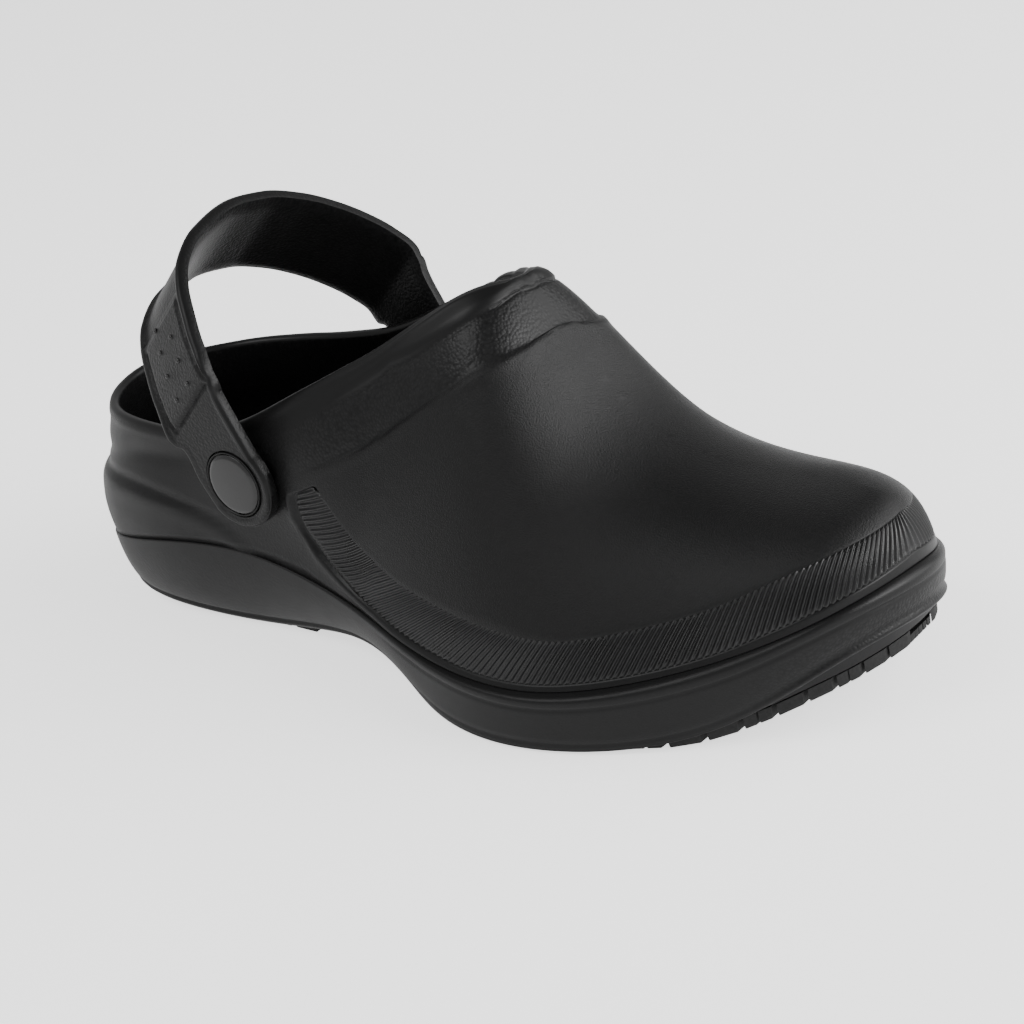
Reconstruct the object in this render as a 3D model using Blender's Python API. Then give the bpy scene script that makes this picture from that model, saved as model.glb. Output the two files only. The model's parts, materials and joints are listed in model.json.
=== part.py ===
"""Moulded clog for work, right foot, built as named closed solids.

Lengths in the tables are in millimetres and the meshes are in metres. +X runs from heel to toe,
+Y to the inner side of the foot and +Z up. The shoe stands on z = 0.
The ring parameter w runs once round the shoe: -9 and 9 at the toe tip, 0 at the back of the heel,
negative on the outer side and positive on the inner side. A profile parameter t runs from the foot
of the upper at 0 to the rim, or to the middle line of the vamp, at 1.
"""
import math

import bmesh
import bpy
import numpy as np

MM = 0.001
# Moves the tables' origin to the middle of the shoe's box
SHIFT_X = 6.05
SHIFT_Y = 5.05
MERGE = 0.008

# Outline of the sole at its top edge, station by station from heel back to toe tip
SOLE_COLUMNS = ("lat_x", "lat_y", "lat_z", "med_x", "med_y", "med_z", "height", "inset", "step", "lean",
                "full")
SOLE_ROWS = (
    (-149, 0, 21, -149, 0, 21, 14, 3, 0.5, -8, 0.55),
    (-138, -30, 22, -138, 29, 22, 18, 4, 0.5, -8, 0.55),
    (-105, -43, 29, -105, 42, 29, 27, 8, 0.5, -6, 0.55),
    (-64, -43, 31, -64, 42, 31, 29, 9, 0.5, 3, 0.55),
    (-22, -47, 23, -22, 41, 23, 16.5, 6, 1.0, 5, 0.55),
    (15, -59, 18, 24, 47, 18, 16, 1, 2.0, 20, 0.55),
    (55, -62, 16.5, 66, 53, 16.5, 15.6, 0.8, 3.0, 24, 0.57),
    (95, -46.5, 22.5, 101, 47, 21.5, 17.5, 1.5, 3.0, 20, 0.63),
    (126, -27, 34, 126, 29, 29, 13.5, 2, 1.6, 8, 0.80),
    (137, 4, 35.5, 137, 4, 35.5, 12.5, 1.5, 2.5, 6, 0.82),
)
LAST = len(SOLE_ROWS) - 1

# Rim of the opening on the outer side, mirrored for the inner side
RIM_COLUMNS = ("x", "y", "z", "lean")
RIM_ROWS = (
    (-141, 0, 64, 8),
    (-130, -25, 64, 8),
    (-103, -37, 65, 10),
    (-64, -39, 69, 14),
    (-17, -31, 90, 40),
    (26, 0, 106, 90),
)
THROAT = len(RIM_ROWS) - 1

# Middle line of the vamp from the throat to the toe, one row per station
SPINE_COLUMNS = ("x", "y", "z")
SPINE_ROWS = (
    (26, 0, 106),
    (48, 2, 76),
    (76, 4, 59),
    (102, 6, 56),
    (119.5, 6, 55),
)
FULLNESS = 0.55
SLOPE_BLEND = 0.9

# Lines on the upper as (station, t): the ribbed band, the crease of the vamp and the rim strip
RIB_LOW = ((0, 0.06), (3.5, 0.30), (3.75, 0.20), (4, 0.045), (4.35, 0.005), (6.5, 0.012), (7.5, 0.042),
           (8.1, 0.05), (9, 0.09))
RIB_TOP = ((0, 0.30), (3.5, 0.50), (3.75, 0.53), (4, 0.36), (4.3, 0.185), (4.6, 0.12), (5, 0.10),
           (5.4, 0.11), (5.85, 0.13), (6.5, 0.165), (7.2, 0.23), (7.75, 0.30), (8.1, 0.325), (8.5, 0.37),
           (9, 0.40))
CREASE = ((0, 0.64), (3.5, 0.70), (4, 0.62), (4.25, 0.575), (4.5, 0.565), (4.8, 0.585), (5.05, 0.61),
          (5.2, 0.71), (5.35, 0.815), (5.5, 1.0), (9, 1.0))
STRIP = ((0, 0.88), (3.6, 0.90), (4.1, 0.89), (4.4, 0.865), (4.75, 0.86), (4.95, 0.89), (5.1, 1.0), (9, 1.0))
RIB_DEPTH = 1.0
RIB_START = (3.55, 3.8)
BAND_DEPTH = 0.7
BAND_START = (3.7, 4.2)
BAND_EDGE = 0.022
STRIP_EDGE = 0.94
VAMP_ROWS = (0.3, 0.6, 0.82, 0.95)

# Heights along the shoe as (x, z): bottom of the lugs and top of the footbed
TREAD = ((-150, 6), (-128, 1.2), (-112, 0), (-58, 0), (-24, 4.5), (-2, 4.5), (28, 0), (86, 0), (96, 1.9),
         (110, 7), (120, 11.2), (128, 14), (140, 18))
FOOTBED = ((-142, 27), (-105, 25), (-62, 25), (-22, 19.5), (20, 14.5), (60, 12.5), (92, 16), (128, 27))

# Walls, ledge, underside and the pieces set into the moulding
WALL = 4.4
WALL_RIM = 3.2
RIM_ROUND = 1.1
GAP = 0.3
LEDGE_SLOPE = 0.3
SIDE_BULGE = 0.12
SIDE_WAIST = 0.35
LIP_WIDTH = 1.2
LIP_RISE = 0.1
RECESS_DRAFT = 0.4
PLATE = 2.0
LUG_DEPTH = 2.0
LUG_GROOVE = 0.1
LUG_EDGE = 0.03
LUG_DRAFT = 0.01
SMOOTH_ARCH = (-50, 22)
COVE = ((0.8, 2.0), (2.6, 0.0))
INSOLE_INSET = 3.6
INSOLE_THICKNESS = 3.0

RING_STEPS = 72
HALF = RING_STEPS // 2
COLUMNS = 4
LUG_COLUMNS = 7
INNER_ROWS = (0, 0.15, 0.35, 0.55, 0.75, 0.9, 1)
SIDE_ROWS = (0, 0.25, 0.5, 0.75, 1)

# Strap: a U band in a plane through the rivets that leans back from the vertical
PIVOT_X = -56
PIVOT_Z = 57
STRAP_TILT = 46
STRAP_THICKNESS = 4.4
PATH_COLUMNS = ("reach", "lateral", "medial")
STRAP_PATH = (
    (-14, 47.9, 47.9),
    (0, 47.9, 47.9),
    (14, 47.9, 47.9),
    (24, 47.9, 48.4),
    (34, 44.6, 45.2),
    (43, 40, 40),
    (51, 35, 33.6),
    (58.2, 28, 25.7),
    (64.5, 15.8, 14.3),
    (67.2, 0, 0),
)
STRAP_COLUMNS = ("reach", "low", "high")
STRAP_WIDTHS = (
    (0, -14, 14),
    (18.5, -7.5, 21),
    (21.5, -9.5, 23),
    (30, -7.8, 25.5),
    (45, -7.5, 26.5),
    (67.2, -8, 27),
)
PAD_RADIUS = 14
PAD_ANGLES = (8, 25, 45, 65, 90)
JOG_ROWS = (1, 2)
BEAD_WIDTH = 2.8
BEAD_HEIGHT = 0.8
BEAD_SHARE = 0.3
BEAD_SLOPE = 0.25
BEAD_ROUND = 0.3
EDGE_DROP = 0.6
BACK_DROP = 0.5
STRAP_HALF_STEPS = 20

POST_RADIUS = 3.5
HOLE_RADIUS = 3.9
SEAT_RADIUS = 10.6
SEAT_Y = 45.7
CUP_RADIUS = 10.2
BADGE_RADIUS = 9.3
BADGE_PROFILE = ((1, 0), (1, 0.5), (0.72, 1.1), (0.3, 1.3))
CUP_DEPTH = 2.0
CUP_FLOOR = 1.2
FLANGE_RADIUS = 6.8
FLANGE_Y = 37.6
FLANGE_THICKNESS = 2.2
FLANGE_ROUND = 1.5
DRILL_START = 28
DRILL_END = 60
ROUND_STEPS = 20


def clear_scene():
    """Removes every object that is in the scene."""
    for item in list(bpy.data.objects):
        bpy.data.objects.remove(item, do_unlink=True)


def periodic_spline(values, t):
    """Smooth closed curve through evenly spaced rows of values."""
    values = np.asarray(values, float)
    count = len(values)
    matrix = 4 * np.eye(count) + np.roll(np.eye(count), 1, 0) + np.roll(np.eye(count), -1, 0)
    bend = np.linalg.solve(matrix, 6 * (np.roll(values, -1, 0) - 2 * values + np.roll(values, 1, 0)))
    t = np.mod(np.asarray(t, float), count)
    low = np.floor(t).astype(int) % count
    high = (low + 1) % count
    b = (t - np.floor(t))[:, None]
    a = 1 - b
    return a * values[low] + b * values[high] + ((a ** 3 - a) * bend[low] + (b ** 3 - b) * bend[high]) / 6


def open_spline(values, t):
    """Smooth open curve through evenly spaced rows of values, straight at both ends."""
    values = np.asarray(values, float)
    count = len(values)
    matrix = 4 * np.eye(count) + np.eye(count, k=1) + np.eye(count, k=-1)
    right = np.zeros_like(values)
    right[1:-1] = 6 * (values[2:] - 2 * values[1:-1] + values[:-2])
    for end in (0, count - 1):
        matrix[end] = 0
        matrix[end, end] = 1
    bend = np.linalg.solve(matrix, right)
    t = np.clip(np.asarray(t, float), 0, count - 1)
    low = np.minimum(np.floor(t).astype(int), count - 2)
    b = (t - low)[:, None]
    a = 1 - b
    curve = (a ** 3 - a) * bend[low] + (b ** 3 - b) * bend[low + 1]
    return a * values[low] + b * values[low + 1] + curve / 6


def smooth_line(table, x):
    """Curve through (x, value) rows that never overshoots them."""
    knots = np.array([row[0] for row in table], float)
    values = np.array([row[1] for row in table], float)
    step = np.diff(knots)
    slope = np.diff(values) / step
    tangent = np.zeros(len(knots))
    for i in range(1, len(knots) - 1):
        if slope[i - 1] * slope[i] > 0:
            tangent[i] = 2 * slope[i - 1] * slope[i] / (slope[i - 1] + slope[i])
    tangent[0] = slope[0]
    tangent[-1] = slope[-1]
    x = np.clip(np.asarray(x, float), knots[0], knots[-1])
    i = np.clip(np.searchsorted(knots, x, side="right") - 1, 0, len(knots) - 2)
    b = (x - knots[i]) / step[i]
    low = values[i] * (1 + 2 * b) * (1 - b) ** 2 + values[i + 1] * b ** 2 * (3 - 2 * b)
    return low + step[i] * (tangent[i] * b * (1 - b) ** 2 - tangent[i + 1] * b ** 2 * (1 - b))


def ramp(x, start, stop):
    """Goes smoothly from 0 at start to 1 at stop."""
    f = np.clip((np.asarray(x, float) - start) / (stop - start), 0, 1)
    return f * f * (3 - 2 * f)


def sole_column(name):
    """One column of the sole table."""
    index = SOLE_COLUMNS.index(name)
    return np.array([row[index] for row in SOLE_ROWS], float)


def ring_values(lateral, medial, w):
    """Closed curve through columns for the outer and the inner side."""
    lateral = np.stack(lateral, 1)
    medial = np.stack(medial, 1)
    w = np.asarray(w, float)
    return periodic_spline(np.concatenate([lateral, medial[-2:0:-1]]), np.where(w <= 0, -w, 2 * LAST - w))


def sole_value(name, w):
    """A column that is the same on both sides, at ring parameters w."""
    values = sole_column(name)
    return ring_values([values], [values], w)[:, 0]


def outline(w):
    """Points of the sole outline and the level direction into the shoe."""
    w = np.asarray(w, float)
    lateral = [sole_column("lat_x"), sole_column("lat_y")]
    medial = [sole_column("med_x"), sole_column("med_y")]
    along = ring_values(lateral, medial, w + 0.001) - ring_values(lateral, medial, w - 0.001)
    along /= np.linalg.norm(along, axis=1)[:, None]
    return ring_values(lateral, medial, w), np.stack([along[:, 1], -along[:, 0]], 1)


def inset_ring(w, inset, z):
    """Ring of points moved into the shoe from the outline, at heights z."""
    points, inward = outline(w)
    return np.column_stack([points + inward * np.asarray(inset).reshape(-1, 1), z])


def ledge_height(w):
    """Height of the sole's top edge."""
    return ring_values([sole_column("lat_z")], [sole_column("med_z")], w)[:, 0]


def foot_ring(w):
    """Where the upper starts, on top of the sole's ledge."""
    step = sole_value("step", w)
    return inset_ring(w, step, ledge_height(w) + LEDGE_SLOPE * step)


def spine_point(w):
    """Points of the vamp's middle line for stations beyond the throat."""
    return open_spline(np.array(SPINE_ROWS, float), np.abs(w) - THROAT)


def top_edge(w):
    """End of each profile with its lean and the slope of the middle line there."""
    w = np.asarray(w, float)
    on_rim = np.abs(w) <= THROAT
    lateral = np.array(RIM_ROWS, float)
    medial = lateral * (1, -1, 1, 1)
    ring = np.where(w <= 0, -w, 2 * THROAT - w)
    rim = periodic_spline(np.concatenate([lateral, medial[-2:0:-1]]), np.where(on_rim, ring, 0))
    spine = spine_point(w)
    ahead = spine_point(np.abs(w) + 0.01) - spine_point(np.abs(w) - 0.01)
    fall = ahead[:, 2] / np.maximum(ahead[:, 0], 0.001)
    slope = np.where(on_rim, fall * ramp(np.abs(w), THROAT - SLOPE_BLEND, THROAT), fall)
    lean = np.where(on_rim, np.clip(rim[:, 3], 0, 90), 90)
    return np.where(on_rim[:, None], rim[:, :3], spine), np.radians(lean), slope


def upper_grid(w, t):
    """Outer face of the upper: one profile per ring parameter, t given per profile."""
    start = foot_ring(w)
    end, lean_end, slope = top_edge(w)
    inward = outline(w)[1]
    lean_start = np.radians(sole_value("lean", w))
    rise = np.maximum(end[:, 2] - start[:, 2], 1)
    flat = end[:, :2] - start[:, :2]
    run = np.linalg.norm(flat, axis=1)
    share = np.sin(lean_end)[:, None]
    level = flat / run[:, None] * share + inward * (1 - share)
    level /= np.linalg.norm(level, axis=1)[:, None]
    first = np.column_stack([inward * np.sin(lean_start)[:, None], np.cos(lean_start)])
    last = np.column_stack([level * share, np.cos(lean_end) + slope * level[:, 0] * share[:, 0]])
    near = start + first * (sole_value("full", w) * rise)[:, None]
    far = end - last * (FULLNESS * (share[:, 0] * run + np.cos(lean_end) * rise))[:, None]
    t = np.broadcast_to(np.asarray(t, float), (len(start), np.shape(t)[-1]))[:, :, None]
    s = 1 - t
    middle = 3 * s * s * t * near[:, None] + 3 * s * t * t * far[:, None]
    return s ** 3 * start[:, None] + middle + t ** 3 * end[:, None]


def grid_normals(grid):
    """Outward directions of a closed ring grid, shared where points coincide."""
    beside = np.roll(grid, -1, 0)
    face = np.cross(grid[:, 1:] - beside[:, :-1], beside[:, 1:] - grid[:, :-1])
    total = np.zeros_like(grid)
    total[:, :-1] += face
    total[:, 1:] += face
    after = np.roll(face, 1, 0)
    total[:, :-1] += after
    total[:, 1:] += after
    keys = np.round(grid.reshape(-1, 3), 3)
    same = np.unique(keys, axis=0, return_inverse=True)[1].reshape(-1)
    merged = np.zeros((same.max() + 1, 3))
    np.add.at(merged, same, total.reshape(-1, 3))
    normal = merged[same].reshape(grid.shape)
    return normal / np.maximum(np.linalg.norm(normal, axis=2), 1e-9)[:, :, None]


def ring_parameters(steps):
    """Ring parameters of a closed ring that starts at the toe tip."""
    return -LAST + 2.0 * LAST * np.arange(steps) / steps


def upper_rows(w):
    """Profile parameters and inward steps of the outer face, row by row."""
    station = np.abs(w)
    low = smooth_line(RIB_LOW, station)
    top = smooth_line(RIB_TOP, station)
    crease = smooth_line(CREASE, station)
    strip = np.maximum(smooth_line(STRIP, station), crease)
    rib = RIB_DEPTH * ramp(station, *RIB_START)
    band = BAND_DEPTH * ramp(station, *BAND_START) * np.where(crease < 0.999, 1, 0)
    zero = np.zeros(len(w))
    rows = [(zero, zero), (low, zero), (low + BAND_EDGE, rib), (top - BAND_EDGE, rib), (top, zero)]
    for share in VAMP_ROWS:
        rows.append((top + (crease - top) * share, zero))
    rows += [(crease, band), (crease + (strip - crease) * STRIP_EDGE, band), (strip, zero), (zero + 1, zero)]
    return np.stack([row[0] for row in rows], 1), np.stack([row[1] for row in rows], 1)


def bridge(ring, columns, height):
    """Grid across a closed ring, from its outer half to its inner half, at heights from x."""
    steps = len(ring)
    half = steps // 2
    lateral = ring[:half + 1]
    medial = ring[(steps - np.arange(half + 1)) % steps]
    share = np.linspace(0, 1, columns + 1)[None, :, None]
    grid = lateral[:, None] * (1 - share) + medial[:, None] * share
    grid[:, 1:-1, 2] = height(grid[:, 1:-1, 0])
    return grid


class Body:
    """Collects points and faces in millimetres and turns them into one closed object."""

    def __init__(self, name):
        self.name = name
        self.mesh = bmesh.new()

    def points(self, grid):
        """Adds a grid of points and returns it as nested lists."""
        return [[self.mesh.verts.new(tuple(p)) for p in row] for row in grid]

    def face(self, corners):
        """Adds one face."""
        self.mesh.faces.new(corners)

    def sheet(self, rows, closed):
        """Joins neighbouring rows of points with quads."""
        for first, second in zip(rows[:-1], rows[1:]):
            count = len(first)
            for i in range(count if closed else count - 1):
                j = (i + 1) % count
                self.face((first[i], first[j], second[j], second[i]))

    def finish(self, material):
        """Merges shared points, turns faces outwards and links the object."""
        mesh = self.mesh
        bmesh.ops.remove_doubles(mesh, verts=mesh.verts, dist=MERGE)
        bmesh.ops.dissolve_degenerate(mesh, edges=mesh.edges, dist=MERGE)
        bmesh.ops.triangulate(mesh, faces=mesh.faces)
        bmesh.ops.recalc_face_normals(mesh, faces=mesh.faces)
        for vertex in mesh.verts:
            vertex.co.x = (vertex.co.x + SHIFT_X) * MM
            vertex.co.y = (vertex.co.y + SHIFT_Y) * MM
            vertex.co.z = vertex.co.z * MM
        data = bpy.data.meshes.new(self.name)
        mesh.to_mesh(data)
        mesh.free()
        item = bpy.data.objects.new(self.name, data)
        bpy.context.scene.collection.objects.link(item)
        if material is not None:
            data.materials.append(material)
        return item


def make_material(name, colour, roughness):
    """Plain material with one colour."""
    material = bpy.data.materials.new(name)
    material.use_nodes = True
    shader = material.node_tree.nodes["Principled BSDF"]
    shader.inputs["Base Color"].default_value = (*colour, 1)
    shader.inputs["Roughness"].default_value = roughness
    return material


def tread_height(x):
    """Bottom of the lugs along the shoe."""
    return smooth_line(TREAD, x)


def ceiling_height(x):
    """Underside of the midsole above the outsole plate."""
    return tread_height(x) + LUG_DEPTH + PLATE + GAP


def side_rows(w):
    """Rings down the side of the sole, from its top edge to the edge of the underside."""
    points, inward = outline(w)
    top = ledge_height(w)
    base = top - sole_value("height", w)
    inset = sole_value("inset", w)
    rings = []
    for s in SIDE_ROWS:
        across = inset * (2 * s * (1 - s) * SIDE_BULGE + s * s)
        z = top * (1 - s) ** 2 + 2 * s * (1 - s) * (base + SIDE_WAIST * (top - base)) + base * s * s
        rings.append(np.column_stack([points + inward * across[:, None], z]))
    rings.append(inset_ring(w, inset + LIP_WIDTH, base + LIP_RISE))
    wall = inset_ring(w, inset + LIP_WIDTH + RECESS_DRAFT, base)
    wall[:, 2] = ceiling_height(wall[:, 0])
    rings.append(wall)
    return rings


def wall_thickness(t):
    """Wall of the upper, thinner at the rim."""
    return WALL + (WALL_RIM - WALL) * np.asarray(t, float)


def inner_wall(w):
    """Inner face of the upper, set in from the outer face by the wall."""
    t = np.array(INNER_ROWS, float)
    grid = upper_grid(w, t)
    normal = grid_normals(grid)
    return grid - normal * wall_thickness(t)[None, :, None]


def footbed_ring(w, inner, inset, lift):
    """Ring inside the shoe, moved in from the foot of the inner wall."""
    inward = outline(w)[1]
    ring = inner[:, 0].copy()
    ring[:, :2] += inward * inset
    ring[:, 2] = smooth_line(FOOTBED, ring[:, 0]) + lift
    return ring


def build_upper(material):
    """Hollow upper, closed below by the face that stands on the midsole."""
    w = ring_parameters(RING_STEPS)
    t, depth = upper_rows(w)
    plain = upper_grid(w, t)
    normal = grid_normals(plain)
    outer = plain - normal * depth[:, :, None]
    inner = inner_wall(w)
    body = Body("upper")
    rings = [outer[:, k] for k in range(outer.shape[1] - 1, -1, -1)]
    rings += [inner[:, k] for k in range(inner.shape[1])]
    body.sheet(body.points(rings), True)
    first = RING_STEPS * (LAST - THROAT) // (2 * LAST)
    span = np.arange(first, RING_STEPS - first + 1)
    along = np.gradient(outer[span, -1], axis=0)
    along[0] = (0, -1, 0)
    along[-1] = (0, -1, 0)
    away = np.cross(along, normal[span, -1])
    away /= np.linalg.norm(away, axis=1)[:, None]
    crest = (outer[span, -1] + inner[span, -1]) / 2 + away * RIM_ROUND
    strip = body.points([outer[span, -1], crest, inner[span, -1]])
    body.sheet(strip, False)
    return body.finish(material)


def build_midsole(material):
    """Midsole with its ledge and the seat of the upper outside, and the footbed inside."""
    w = ring_parameters(RING_STEPS)
    inner = inner_wall(w)
    seat = foot_ring(w) - (0, 0, GAP)
    seat_in = inner[:, 0] - (0, 0, GAP)
    rings = [seat_in, seat] + side_rows(w)
    body = Body("midsole")
    body.sheet(body.points(rings), True)
    body.sheet(body.points(bridge(rings[-1], COLUMNS, ceiling_height)), False)
    low = [footbed_ring(w, inner, inset, lift) for inset, lift in COVE]
    body.sheet(body.points([seat_in] + low), True)
    body.sheet(body.points(bridge(low[-1], COLUMNS, lambda x: smooth_line(FOOTBED, x))), False)
    return body.finish(material)


def build_outsole(material):
    """Rubber plate with lugs, set into the underside."""
    w = ring_parameters(RING_STEPS)
    inset = sole_value("inset", w) + LIP_WIDTH + RECESS_DRAFT + GAP
    rim = inset_ring(w, inset, np.zeros(RING_STEPS))
    body = Body("outsole")
    plate_top = tread_height(rim[:, 0]) + LUG_DEPTH + PLATE
    plate_low = tread_height(rim[:, 0]) + LUG_DEPTH
    top = np.column_stack([rim[:, :2], plate_top])
    low = np.column_stack([rim[:, :2], plate_low])
    body.sheet(body.points([top, low]), True)
    cover = bridge(top, LUG_COLUMNS, lambda x: tread_height(x) + LUG_DEPTH + PLATE)
    body.sheet(body.points(cover), False)
    floor = bridge(low, LUG_COLUMNS, lambda x: tread_height(x) + LUG_DEPTH)
    for i in range(HALF):
        for k in range(LUG_COLUMNS):
            corners = np.array([floor[i, k], floor[i, k + 1], floor[i + 1, k + 1], floor[i + 1, k]])
            edges = (LUG_EDGE if k == 0 else LUG_GROOVE, LUG_EDGE if k == LUG_COLUMNS - 1 else LUG_GROOVE)
            add_tread_cell(body, corners, edges, 0 < i < HALF - 1)
    return body.finish(material)


def add_tread_cell(body, corners, edges, may_lug):
    """One cell of the tread: a plain patch, or a lug with a groove round it."""
    outer = body.points([corners])[0]
    if not may_lug or SMOOTH_ARCH[0] < corners[:, 0].mean() < SMOOTH_ARCH[1]:
        body.face(outer)
        return
    root = lug_corners(corners, edges, 0, LUG_DEPTH)
    tip = lug_corners(corners, edges, LUG_DRAFT, 0)
    body.sheet([outer, body.points([root])[0], body.points([tip])[0]], True)
    body.face(body.points([tip])[0])


def lug_corners(corners, edges, draft, lift):
    """Four corners inside a tread cell, set back from its sides, at a height above the lug's bottom."""
    spots = []
    for along, across in ((0, 0), (0, 1), (1, 1), (1, 0)):
        a = LUG_GROOVE + draft if along == 0 else 1 - LUG_GROOVE - draft
        b = edges[0] + draft if across == 0 else 1 - edges[1] - draft
        first = corners[0] * (1 - b) + corners[1] * b
        second = corners[3] * (1 - b) + corners[2] * b
        spots.append(first * (1 - a) + second * a)
    spots = np.array(spots)
    spots[:, 2] = tread_height(spots[:, 0]) + lift
    return spots


def build_insole(material):
    """Loose footbed inside the shoe."""
    w = ring_parameters(RING_STEPS)
    inner = inner_wall(w)
    low = footbed_ring(w, inner, INSOLE_INSET, GAP)
    top = footbed_ring(w, inner, INSOLE_INSET, GAP + INSOLE_THICKNESS)
    body = Body("insole")
    body.sheet(body.points([low, top]), True)
    for ring, lift in ((low, GAP), (top, GAP + INSOLE_THICKNESS)):
        grid = bridge(ring, COLUMNS, lambda x, lift=lift: smooth_line(FOOTBED, x) + lift)
        body.sheet(body.points(grid), False)
    return body.finish(material)


def strap_path():
    """Samples along the strap: reach from the pivot, side position, level direction inwards."""
    path = np.array(STRAP_PATH, float)
    lateral = np.column_stack([path[:, 0], -path[:, 1]])
    medial = np.column_stack([path[:, 0], path[:, 2]])
    whole = np.concatenate([lateral, medial[-2::-1]])
    length = np.concatenate([[0], np.cumsum(np.linalg.norm(np.diff(whole, axis=0), axis=1))])
    reach_table = list(zip(length, whole[:, 0]))
    side_table = list(zip(length, whole[:, 1]))
    end = length[-1]
    pad = PAD_RADIUS * (1 - np.cos(np.radians(PAD_ANGLES)))
    bend = length[len(lateral) - 1]
    arm = np.linspace(PAD_RADIUS, bend, STRAP_HALF_STEPS)[1:]
    jog = PAD_RADIUS + np.array([STRAP_WIDTHS[row][0] for row in JOG_ROWS])
    first = np.unique(np.concatenate([pad, arm[np.min(np.abs(arm[:, None] - jog), axis=1) > 2], jog]))
    second = end - first[:-1] * (end - bend) / bend
    s = np.concatenate([first, second[::-1]])
    points = np.column_stack([smooth_line(reach_table, s), smooth_line(side_table, s)])
    step = 0.2
    back = np.column_stack([smooth_line(reach_table, s - step), smooth_line(side_table, s - step)])
    front = np.column_stack([smooth_line(reach_table, s + step), smooth_line(side_table, s + step)])
    along = front - back
    along /= np.linalg.norm(along, axis=1)[:, None]
    return points, np.column_stack([-along[:, 1], along[:, 0]])


def strap_width(reach):
    """Low and high edge of the band at a reach from the pivot."""
    low = np.interp(reach, [row[0] for row in STRAP_WIDTHS], [row[1] for row in STRAP_WIDTHS])
    high = np.interp(reach, [row[0] for row in STRAP_WIDTHS], [row[2] for row in STRAP_WIDTHS])
    if reach < 0:
        low = -math.sqrt(max(PAD_RADIUS ** 2 - reach ** 2, 0.01))
        high = -low
    return low, high


def strap_section(low, high):
    """Closed section of the band as (depth from the outer face, height across)."""
    bead = min(BEAD_WIDTH, BEAD_SHARE * (high - low))
    slope = BEAD_SLOPE * bead
    round_off = BEAD_ROUND * bead
    deep = STRAP_THICKNESS
    left = (
        (deep - BACK_DROP, low),
        (EDGE_DROP, low),
        (0, low + round_off),
        (0, low + bead - slope),
        (BEAD_HEIGHT, low + bead),
    )
    right = tuple((d, high + low - n) for d, n in reversed(left))
    return left + right + ((deep, high - round_off), (deep, low + round_off))


def strap_point(reach, side, across):
    """Point of the strap from its reach, side position and place across the band."""
    tilt = math.radians(STRAP_TILT)
    x = PIVOT_X - reach * math.cos(tilt) + across * math.sin(tilt)
    z = PIVOT_Z + reach * math.sin(tilt) + across * math.cos(tilt)
    return (x, side, z)


def build_strap(material):
    """Heel strap as one bent band with rounded ends."""
    points, inward = strap_path()
    body = Body("heel_strap")
    rings = []
    for point, into in zip(points, inward):
        low, high = strap_width(point[0])
        ring = []
        for depth, across in strap_section(low, high):
            spot = point + into * depth
            ring.append(strap_point(spot[0], spot[1], across))
        rings.append(ring)
    rows = body.points(rings)
    body.sheet(rows, True)
    body.face(rows[0])
    body.face(rows[-1][::-1])
    return body.finish(material)


def build_turned(name, profile, side, material):
    """Solid of revolution about the rivet axis from (radius, distance from the middle) rows."""
    body = Body(name)
    rings = []
    for radius, distance in profile:
        ring = []
        for i in range(ROUND_STEPS):
            angle = 2 * math.pi * i / ROUND_STEPS
            x = PIVOT_X + radius * math.cos(angle)
            z = PIVOT_Z + radius * math.sin(angle)
            ring.append((x, side * distance, z))
        rings.append(ring)
    rows = body.points(rings)
    body.sheet(rows, True)
    body.face(rows[0])
    body.face(rows[-1])
    return body.finish(material)


def build_rivet(name, side, material):
    """Post with an inner flange and an outer cup for the badge."""
    profile = (
        (FLANGE_RADIUS - FLANGE_ROUND, FLANGE_Y - FLANGE_THICKNESS),
        (FLANGE_RADIUS, FLANGE_Y - FLANGE_THICKNESS / 2),
        (FLANGE_RADIUS, FLANGE_Y),
        (POST_RADIUS, FLANGE_Y),
        (POST_RADIUS, SEAT_Y + GAP),
        (CUP_RADIUS, SEAT_Y + GAP),
        (CUP_RADIUS, SEAT_Y + CUP_DEPTH),
        (BADGE_RADIUS + GAP, SEAT_Y + CUP_DEPTH),
        (BADGE_RADIUS + GAP, SEAT_Y + CUP_FLOOR),
    )
    return build_turned(name, profile, side, material)


def build_badge(name, side, material):
    """Plain domed disc in the rivet's cup."""
    back = SEAT_Y + CUP_FLOOR + GAP
    profile = [(share * BADGE_RADIUS, back + rise) for share, rise in BADGE_PROFILE]
    return build_turned(name, profile, side, material)


def drill(targets, side):
    """Cuts the rivet's hole and the seat of its cup."""
    inner = FLANGE_Y + GAP
    profile = (
        (FLANGE_RADIUS + RECESS_DRAFT, DRILL_START),
        (FLANGE_RADIUS + RECESS_DRAFT, inner),
        (HOLE_RADIUS, inner),
        (HOLE_RADIUS, SEAT_Y),
        (SEAT_RADIUS, SEAT_Y),
        (SEAT_RADIUS, DRILL_END),
    )
    cutter = build_turned("drill_" + ("medial" if side > 0 else "lateral"), profile, side, None)
    cutter.hide_render = True
    cutter.display_type = "WIRE"
    for item in targets:
        cut = item.modifiers.new(cutter.name, "BOOLEAN")
        cut.operation = "DIFFERENCE"
        cut.solver = "EXACT"
        cut.object = cutter


def main():
    """Builds the whole shoe."""
    clear_scene()
    foam = make_material("foam_black", (0.018, 0.018, 0.019), 0.55)
    rubber = make_material("rubber_black", (0.014, 0.014, 0.014), 0.7)
    gloss = make_material("plastic_gloss", (0.01, 0.01, 0.011), 0.15)
    upper = build_upper(foam)
    build_midsole(foam)
    build_outsole(rubber)
    build_insole(foam)
    strap = build_strap(foam)
    for side, name in ((-1, "lateral"), (1, "medial")):
        build_rivet("rivet_" + name, side, gloss)
        build_badge("badge_" + name, side, gloss)
        drill((upper, strap), side)


main()
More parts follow.
